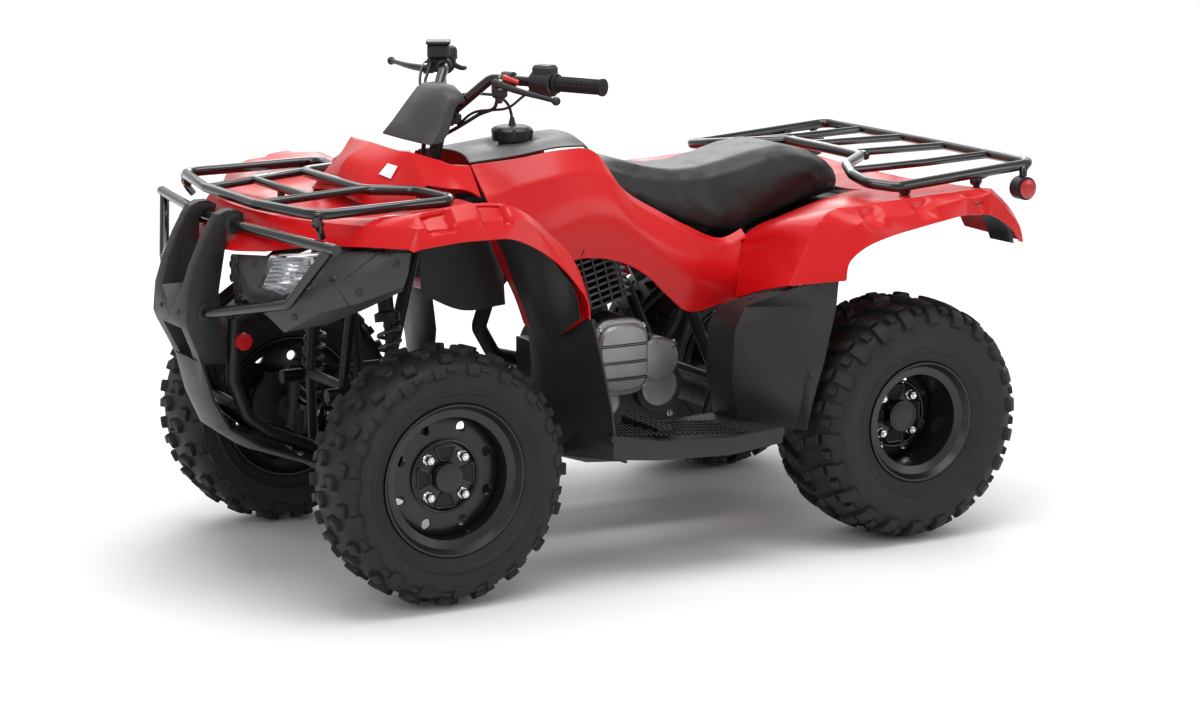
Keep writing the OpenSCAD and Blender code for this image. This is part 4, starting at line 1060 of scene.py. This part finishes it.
# ---- handlebar fittings ------------------------------------------------------------------------------
BAR_A = Vector((287, 112, 1029))
BAR_B = Vector((157, 358, 1027))
WAY = (BAR_B - BAR_A).normalized()
AHEAD = Vector((0.887, 0.461, 0)).normalized()


def on_bar(t, side=1):
    p = BAR_A + WAY * t
    return Vector((p.x, p.y * side, p.z))


def way_of(side):
    return Vector((WAY.x, WAY.y * side, WAY.z))


def frame_of(side):
    """rotation whose columns run forward of the bar, along the bar outwards and up"""
    w = way_of(side)
    f = Vector((AHEAD.x, AHEAD.y * side, 0)).normalized()
    u = f.cross(w) * side
    return Matrix((f, w, u)).transposed()


grip, ends = Bag(), Bag()
for side in (-1, 1):
    n = 60
    length = (BAR_B - BAR_A).length
    stops = [(163, 12), (163, 20.5), (167.5, 20.5), (169, 17.5)]
    t = 170.0
    while t < length - 9:
        stops += [(t, 14.6), (t + 1.2, 16.3), (t + 6.4, 16.3), (t + 7.6, 14.6)]
        t += 9.2
    stops += [(length - 4, 15.0), (length - 3, 18.4), (length + 2.4, 18.4), (length + 3.6, 16.8), (length + 3.8, 7)]
    d, s_, u_ = basis(way_of(side))
    verts, faces = [], []
    for t, r_ in stops:
        for k in range(n):
            a = 2 * math.pi * k / n
            rr = r_ - (1.5 if r_ == 16.3 and (k % 10) >= 8 else 0)
            verts.append(V3(on_bar(t, side)) + (s_ * math.cos(a) + u_ * math.sin(a)) * (rr / 1000))
    m = len(stops)
    for i in range(m - 1):
        for k in range(n):
            j = (k + 1) % n
            faces.append((i * n + k, i * n + j, (i + 1) * n + j, (i + 1) * n + k))
    faces += [tuple(reversed(range(n))), tuple((m - 1) * n + k for k in range(n))]
    grip.add(verts, faces)
    turned(ends, V3(on_bar(length + 3.6, side)), way_of(side), [(0, 7.5), (0.9, 7.5)], 28)
o = grip.make("grip_pair", GRIPM, "steering", "grip_rubber", split=32)
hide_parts("grips")
# dark disc in each grip end: painted shade in the open end of the bar
ends.make("grip_end_shade", SHADE_AND_SEAM, "steering", "grip_rubber")

ctl, metal, red_bit, dark_bit = Bag(), Bag(), Bag(), Bag()
for side in (-1, 1):
    F = frame_of(side)

    def at_bar(t, fwd_, up, side=side, F=F):
        return on_bar(t, side) + F @ Vector((fwd_, 0, 0)) + Vector((0, 0, up))

    w_ = way_of(side)
    # split clamp of the lever perch with its two screws
    turned(ctl, V3(on_bar(30, side)), w_, [(0, 14), (1.5, 17.5), (26, 17.5), (27.5, 14)], 36)
    brick(ctl, at_bar(43, 17, 0), (24, 22, 24), F, 3)
    for dz in (-8, 8):
        bolt(metal, V3(at_bar(43, 29, dz)), F @ Vector((1, 0, 0)), 3.4, 4, False)
    pivot = at_bar(52, 40, -6)
    brick(ctl, at_bar(49, 33, -6), (26, 26, 18), F, 4)
    turned(metal, V3(pivot + Vector((0, 0, -11))), (0, 0, 1), [(0, 5), (1, 6), (21, 6), (22, 5)], 6)
    tip = Vector((250, 328, 1001)) if side > 0 else Vector((290, -366, 1022))
    bend = pivot.lerp(tip, 0.35) + F @ Vector((9, 0, 0))
    far = pivot.lerp(tip, 0.82) + F @ Vector((3, 0, 0))
    path = smooth_path([pivot, bend, far, tip], 7)
    m = len(path)
    pipe(ctl, path, [8.5 - 3.2 * min(1, i / (m * 0.7)) for i in range(m)], 14)
    turned(ctl, V3(tip - (path[-1] - path[-2]).normalized() * 9), path[-1] - path[-2],
           [(0, 3), (1.5, 6), (5, 8.6), (9, 9.4), (13, 8.6), (16.5, 6), (18, 2.5)], 24)
# left: brake lever perch body, lock lever and switch box
F = frame_of(1)


def left(t, f_, u_):
    return on_bar(t, 1) + F @ Vector((f_, 0, 0)) + Vector((0, 0, u_))


brick(ctl, left(40, 28, -16), (26, 30, 40), F, 5)
turned(ctl, V3(left(40, 30, -34)), (0, 0, -1), [(0, 9), (10, 8), (13, 6)], 20)
red_path = smooth_path([left(58, 34, 8), left(70, 40, 7), left(86, 42, 4), left(96, 40, 1)], 5)
pipe(red_bit, red_path, [6.5 - 0.2 * i for i in range(len(red_path))], 12)
turned(ctl, V3(left(106, 0, 0)), way_of(1), [(0, 17), (2, 23), (49, 24), (52, 20)], 40)
brick(ctl, left(133, -4, 22), (40, 46, 30), F, 6)
brick(ctl, left(131, -10, -18), (36, 40, 24), F, 6)
brick(ctl, left(118, -22, 30), (8, 12, 9), F, 2)
brick(ctl, left(140, -24, 26), (8, 16, 12), F, 2.5)
brick(red_bit, left(128, -25, 14), (5, 9, 6), F, 1.5)
for t in (114, 150):
    bolt(metal, V3(left(t, -8, 37)), (0, 0, 1), 2.6, 2.5, False, False)
pipe(dark_bit,
     smooth_path([left(106, 4, -14), left(84, 12, -34), left(50, 20, -58), (318, 96, 958), (344, 66, 928)], 6),
     3.0, 10)
# right: master cylinder with lid, throttle box with thumb lever
F = frame_of(-1)


def right(t, f_, u_):
    return on_bar(t, -1) + F @ Vector((f_, 0, 0)) + Vector((0, 0, u_))


brick(ctl, right(50, 12, 34), (48, 58, 34), F, 6)
brick(ctl, right(50, 12, 52.5), (53, 63, 7), F, 2)
for a in (-20, 20):
    for b in (-25, 25):
        bolt(metal, V3(right(50 + b, 12 + a, 55.5)), (0, 0, 1), 2.8, 2.2, False, False)
turned(ctl, V3(right(30, 26, 12)), way_of(-1), [(0, 8), (2, 11), (44, 11), (48, 8)], 28)
turned(dark_bit, V3(right(79.4, 12, 36)), way_of(-1), [(0, 8), (1.2, 8), (1.8, 6.5)], 24)
turned(ctl, V3(right(104, 0, 0)), way_of(-1), [(0, 17), (2, 24), (50, 25), (54, 20)], 40)
turned(ctl, V3(right(132, 2, 8)), (0, 0, 1), [(0, 30), (18, 30), (26, 27), (28, 22)], 44)
brick(ctl, right(132, -8, 24), (30, 42, 26), F, 5)
thumb = smooth_path([right(128, -18, -4), right(132, -34, -12), right(142, -42, -14), right(158, -44, -15)], 5)
pipe(ctl, thumb, [6.2 - 0.14 * i for i in range(len(thumb))], 12)
for a in (0.6, 2.7, 4.8):
    q = right(132, 2, 36) + Vector((22 * math.cos(a), 22 * math.sin(a), 0))
    bolt(metal, V3(q - Vector((0, 0, 1.5))), (0, 0, 1), 2.6, 2.4, False, False)
pipe(dark_bit,
     smooth_path([right(106, 16, 2), right(84, 40, 6), (330, -140, 1012), (352, -90, 985), (356, -60, 950)], 6),
     3.2, 10)
pipe(dark_bit,
     smooth_path([right(30, 26, 12), (322, -118, 1022), (346, -84, 1000), (352, -56, 955), (362, -40, 915)], 6),
     3.4, 10)
o = ctl.make("control_set", BLACKP, "steering", "bumper_plastic", split=34)
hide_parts("hand_controls")
metal.make("control_screws", STEEL, "steering", "plain_steel")
red_bit.make("lock_lever", LOCK, "steering", "lamp_red")
dark_bit.make("control_leads", CABLE, "steering", "cable_rubber")
# clamp over the bar
clamp, cb = Bag(), Bag()
for side in (-1, 1):
    turned(clamp, P(347, side * 26, 955), (0, side, 0), [(0, 15), (1.5, 18), (18.5, 18), (20, 15)], 32)
    brick(clamp, (343, side * 36, 938), (40, 20, 22), None, 3)
    for dx in (-14, 14):
        bolt(cb, P(346 + dx, side * 36, 966), (-0.25, 0, 0.97), 5, 6)
clamp.make("bar_clamps", CAST, "steering", "cast_grey")
cb.make("bar_clamp_bolts", STEEL, "steering", "plain_steel")

# ---- shocks with wound springs -------------------------------------------------------------------------


def shock(bag_s, bag_d, p, q, r, turns):
    """spring and body between two drawing points"""
    p, q = Vector(p), Vector(q)
    d = (q - p).normalized()
    length = (q - p).length
    turned(bag_d, V3(p), d, [(0, r * 0.42), (length * 0.14, r * 0.42), (length * 0.141, r * 0.98),
                             (length * 0.17, r * 0.98), (length * 0.171, r * 0.5), (length * 0.56, r * 0.5),
                             (length * 0.561, r * 0.34), (length * 0.75, r * 0.34), (length * 0.751, r * 0.98),
                             (length * 0.79, r * 0.98), (length * 0.80, r * 0.62), (length * 0.93, r * 0.62),
                             (length * 0.97, r * 0.42), (length, r * 0.42)], 40)
    _, s_, u_ = basis(d)
    pts, steps = [], turns * 20
    for i in range(steps + 1):
        a = 2 * math.pi * turns * i / steps
        pts.append(p + d * (length * (0.185 + 0.55 * i / steps)) + (s_ * math.cos(a) + u_ * math.sin(a)) * (r - 5))
    pipe(bag_s, pts, 4.6, 8)


coil, damper = Bag(), Bag()
shock(coil, damper, (565, 250, 226), (565, 146, 650), 27, 9)
coil.mirrored()
damper.mirrored()
o = coil.make("front_springs", SHOCK, "chassis", "shock_steel", split=60)
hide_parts("front_shocks")
damper.make("front_dampers", FRAME, "chassis", "shock_steel")
coil, damper = Bag(), Bag()
shock(coil, damper, (-395, 0, 311.6), (-347, 0, 588), 33, 7)
o = coil.make("rear_spring", SHOCK, "chassis", "shock_steel", split=60)
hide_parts("rear_shock")
damper.make("rear_damper", FRAME, "chassis", "shock_steel")

# ---- engine details --------------------------------------------------------------------------------------
plate, groove_shade, eb = Bag(), Bag(), Bag()
cx_, cz_ = -4, 408
outline = []
for k in range(48):
    a = 2 * math.pi * k / 48
    c_, s_ = math.cos(a), math.sin(a)
    e = 0.55
    outline.append((cx_ + 62 * math.copysign(abs(c_) ** e, c_), cz_ + 76 * math.copysign(abs(s_) ** e, s_)))
levels = [(140, 1.12), (152, 1.12), (156, 1.08), (157, 1.0), (166, 0.97), (171, 0.90), (173, 0.5)]
verts = [P(cx_ + (x - cx_) * k_, y, cz_ + (z - cz_) * k_) for y, k_ in levels for x, z in outline]
n = 48
faces = []
for i in range(len(levels) - 1):
    for k in range(n):
        j = (k + 1) % n
        faces.append((i * n + k, (i + 1) * n + k, (i + 1) * n + j, i * n + j))
faces += [tuple(range(n)), tuple((len(levels) - 1) * n + k for k in reversed(range(n)))]
plate.add(verts, faces)
# dark lines on the cover face: painted shade standing in for its grooves
for dz in (-46, -42, -10, -6, 28, 32):
    pts = [(cx_ - 56, 170.4, cz_ + dz), (cx_ - 30, 172.6, cz_ + dz), (cx_, 173.2, cz_ + dz),
           (cx_ + 30, 172.6, cz_ + dz),
           (cx_ + 56, 170.4, cz_ + dz)]
    pipe(groove_shade, pts, 1.5, 6)
turned(plate, P(-104, 130, 392), (0, 1, 0), [(0, 50), (16, 50), (22, 44), (24, 30)], 48)
turned(plate, P(-112, 128, 330), (0, 1, 0), [(0, 44), (10, 44), (14, 38)], 48)
turned(plate, P(20, 118, 306), (0, 1, 0), [(0, 34), (14, 34), (18, 28)], 40)
for a in range(0, 360, 45):
    r_ = 1.06
    x = cx_ + 62 * r_ * math.copysign(abs(math.cos(math.radians(a))) ** 0.55, math.cos(math.radians(a)))
    z = cz_ + 76 * r_ * math.copysign(abs(math.sin(math.radians(a))) ** 0.55, math.sin(math.radians(a)))
    if a % 90:
        bolt(eb, P(x, 156, z), (0, 1, 0), 5, 6)
for a in range(20, 380, 60):
    bolt(eb, P(-104 + 42 * math.cos(math.radians(a)), 150, 392 + 42 * math.sin(math.radians(a))), (0, 1, 0), 4, 5)
for x, z in ((60, 320), (96, 380), (100, 270), (-40, 262), (-150, 262), (-158, 420)):
    bolt(eb, P(x, 118, z), (0, 1, 0), 5.5, 6)
    bolt(eb, P(x, -118, z), (0, -1, 0), 5.5, 6)
turned(plate, P(-8, -144, 380), (0, -1, 0), [(-2, 92), (6, 92), (10, 86), (12, 60)], 56)
for a in range(0, 360, 45):
    bolt(eb, P(-8 + 78 * math.cos(math.radians(a)), -154, 380 + 78 * math.sin(math.radians(a))), (0, -1, 0), 4.5, 5)
plate.make("engine_covers", ALLOY, "chassis", "engine_alloy", split=30)
groove_shade.make("cover_groove_shade", SHADE_AND_SEAM, "chassis", "engine_alloy")
eb.make("engine_bolts", STEEL, "chassis", "plain_steel")
# head cover, plug lead, intake and small hoses
head, leads = Bag(), Bag()
tilt = math.radians(14)


def up_cyl(x, y, z):
    return (6 + x * math.cos(tilt) + z * math.sin(tilt), y, 482 - x * math.sin(tilt) + z * math.cos(tilt))


H = Matrix.Rotation(tilt, 3, "Y")
brick(head, up_cyl(0, 0, 206), (104, 110, 14), H, 5)
for a, b in ((-44, -50), (-44, 50), (44, -50), (44, 50)):
    bolt(eb, V3(up_cyl(a, b, 212)), H @ Vector((0, 0, 1)), 5, 6)
for b in (-60, -30, 0, 30, 60):
    pipe(head, [up_cyl(-83.5, b, 32), up_cyl(-83.5, b, 156)], 2.4, 8)
    pipe(head, [up_cyl(-60 + (b + 60) * 0.9, 93.5, 32), up_cyl(-60 + (b + 60) * 0.9, 93.5, 156)], 2.4, 8)
head.make("cylinder_head_trim", CYL, "chassis", "cylinder_black")
pipe(leads, smooth_path([up_cyl(30, 92, 150), (70, 110, 640), (110, 96, 672), (150, 60, 700), (180, 30, 742)], 8),
     3.6, 10)
pipe(leads, smooth_path([(-150, 100, 420), (-176, 110, 470), (-186, 104, 540), (-150, 90, 610), (-90, 70, 650)], 8),
     5, 10)
pipe(leads, smooth_path([(110, 60, 420), (150, 66, 470), (160, 70, 560), (150, 60, 640), (120, 40, 700)], 8), 6, 10)
pipe(leads, smooth_path([(-120, 0, 560), (-180, 20, 590), (-240, 30, 600)], 8), 24, 20)
leads.make("engine_hoses", CABLE, "chassis", "cable_rubber")

# ---- lamps, labels, fasteners ------------------------------------------------------------------------------
lens_r = Bag()
for s in (-1, 1):
    turned(lens_r, P(-876, s * 439, 752), (0, s, 0), [(0, 21.5), (4.5, 21.5), (6.5, 19), (7.5, 10)], 44)
    turned(lens_r, P(-901, s * 421, 752), (-1, 0, 0), [(-2, 10), (0.6, 10), (1.6, 8)], 28)
lens_r.make("tail_lenses", LRED, "chassis", "lamp_red")
labels = Bag()


def label(rows, i0, j0, i1, j1, lift=0.9, k=6):
    g_ = []
    for a in range(k + 1):
        r_ = []
        for b in range(k + 1):
            p, nrm = on_grid(rows, i0 + (i1 - i0) * a / k, j0 + (j1 - j0) * b / k)
            r_.append(p + (nrm if nrm.z > 0 else -nrm) * lift)
        g_.append(r_)
    sheet(labels, g_, 0.6)


label(fender_rows, 2.7, 1.15, 3.2, 1.75, 3.2)
label(rear_rows, 4.2, 0.55, 5.3, 0.95, 3.5)
label(hump_rows, 1.08, 1.08, 1.5, 1.85, 6.0)
labels.mirrored()
labels.make("blank_labels", WHITE, "chassis", "lamp_clear", smooth=False)
pins = Bag()
foot_rear = [
    [(-196, 230, 270), (-200, 330, 270), (-268, 446, 276), (-276, 474, 278)],
    [(-176, 230, 370), (-180, 330, 370), (-284, 446, 340), (-292, 474, 336)],
    [(-180, 230, 478), (-186, 330, 478), (-300, 446, 430), (-322, 474, 424)],
    [(-200, 230, 514), (-212, 330, 530), (-300, 446, 540), (-350, 476, 540)],
    [(-238, 230, 526), (-240, 330, 556), (-262, 446, 584), (-352, 482, 606)],
]
foot_front = [
    [(262, 230, 516), (266, 330, 517), (246, 455, 564), (246, 478, 570)],
    [(252, 230, 430), (258, 330, 430), (226, 455, 480), (224, 480, 480)],
    [(262, 230, 330), (262, 330, 330), (206, 460, 380), (204, 484, 380)],
    [(262, 230, 262), (262, 330, 262), (196, 460, 300), (194, 484, 300)],
]
for i, j in ((3.7, 0.3), (3.75, 0.9), (3.8, 1.5), (3.75, 2.5), (1.6, 2.4), (0.5, 1.4)):
    p, nrm = on_grid(foot_rear, i, j)
    if nrm.x < 0:
        nrm = -nrm
    bolt(pins, V3(p + nrm * 0.5), nrm, 7, 3.5, True, False)
for i, j in ((0.15, 0.6), (0.2, 1.7), (1.4, 1.8), (2.6, 0.5), (2.7, 1.7), (0.12, 2.5)):
    p, nrm = on_grid(foot_front, i, j)
    for sgn in (1, -1):
        q = p + nrm * (0.5 * sgn)
        if sgn < 0:
            q = p - nrm * 5.5 if nrm.x > 0 else p + nrm * 0.5
        bolt(pins, V3(q), nrm * sgn, 6, 3.5, True, False)
pins.mirrored()
pins.make("push_pins", CAST, "chassis", "cast_grey")
# non-slip teeth along the foot tray and the pegs
teeth = Bag()
for k in range(34):
    x = 196 - k * 11.8
    y = 478 + (0.0 if k % 2 else 3.0)
    z = 322 + (x - 206) * (36 / 420.0) * 1.0
    for yy in (300, 340, 380, 420, 460):
        zz = z - 4 - (486 - yy) * 0.055
        brick(teeth, (x, yy, zz + 1.2), (4.2, 18, 5), None, 1.2)
for k in range(7):
    for dx in (3, 17, 31):
        brick(teeth, (40 + dx, 304 + 22 * k, 315.4), (5, 12, 5), None, 1.2)
teeth.mirrored()
teeth.make("tray_teeth", BLACKP, "chassis", "bumper_plastic", smooth=False)
# rack clamps and bolts
rb = Bag()
for s in (-1, 1):
    for x, y, z in ((-772, 394, 770), (-576, 402, 764), (796, 346, 790), (518, 337, 808), (-640, 150, 808)):
        turned(rb, P(x, s * (y - 5), z), (0, s, 0), [(-8, 10.5), (8, 10.5), (10, 7)], 24)
    bolt(rb, P(-772, s * 402, 772), (0, s, 0), 5, 6)
rb.make("rack_bosses", TUBE, "chassis", "tube_black")

# ---- floor, light, world -------------------------------------------------------------------------------
floor_me = bpy.data.meshes.new("floor")
floor_me.from_pydata([(-30, -30, 0), (30, -30, 0), (30, 30, 0), (-30, 30, 0)], [], [(0, 1, 2, 3)])
fm = material("floor", (0.90, 0.90, 0.90), 0.65, spec=0.2, tint=0.01, tint_scale=1.5, fine=(60, 0.02, 0.001))
floor_me.materials.append(fm)
floor = bpy.data.objects.new("floor", floor_me)
bpy.context.scene.collection.objects.link(floor)
world = bpy.data.worlds.new("world")
bpy.context.scene.world = world
world.use_nodes = True
world.node_tree.nodes["Background"].inputs[0].default_value = (1, 1, 1, 1)
world.node_tree.nodes["Background"].inputs[1].default_value = 0.55


def area(name, loc, aim, size, power, size_y=None):
    l = bpy.data.lights.new(name, "AREA")
    l.energy = power
    l.size = size
    if size_y:
        l.shape = "RECTANGLE"
        l.size_y = size_y
    o = bpy.data.objects.new(name, l)
    o.location = loc
    o.rotation_mode = "QUATERNION"
    o.rotation_quaternion = (Vector(aim) - Vector(loc)).to_track_quat("-Z", "Y")
    bpy.context.scene.collection.objects.link(o)


area("top", (0.2, 0.6, 4.6), (0, 0, 0.5), 4.0, 150, 3.0)
area("key", (4.2, 3.2, 3.2), (0, 0, 0.5), 2.4, 60)
area("side", (-3.8, 4.2, 2.4), (-0.3, 0, 0.5), 2.4, 40)
area("rim", (-2.5, -4.5, 3.0), (0, 0, 0.5), 2.5, 45)
area("backdrop", (-4.9, -8.7, 5.0), (-4.9, -8.71, 0), 13.0, 620)
bpy.context.scene.view_settings.view_transform = "Standard"
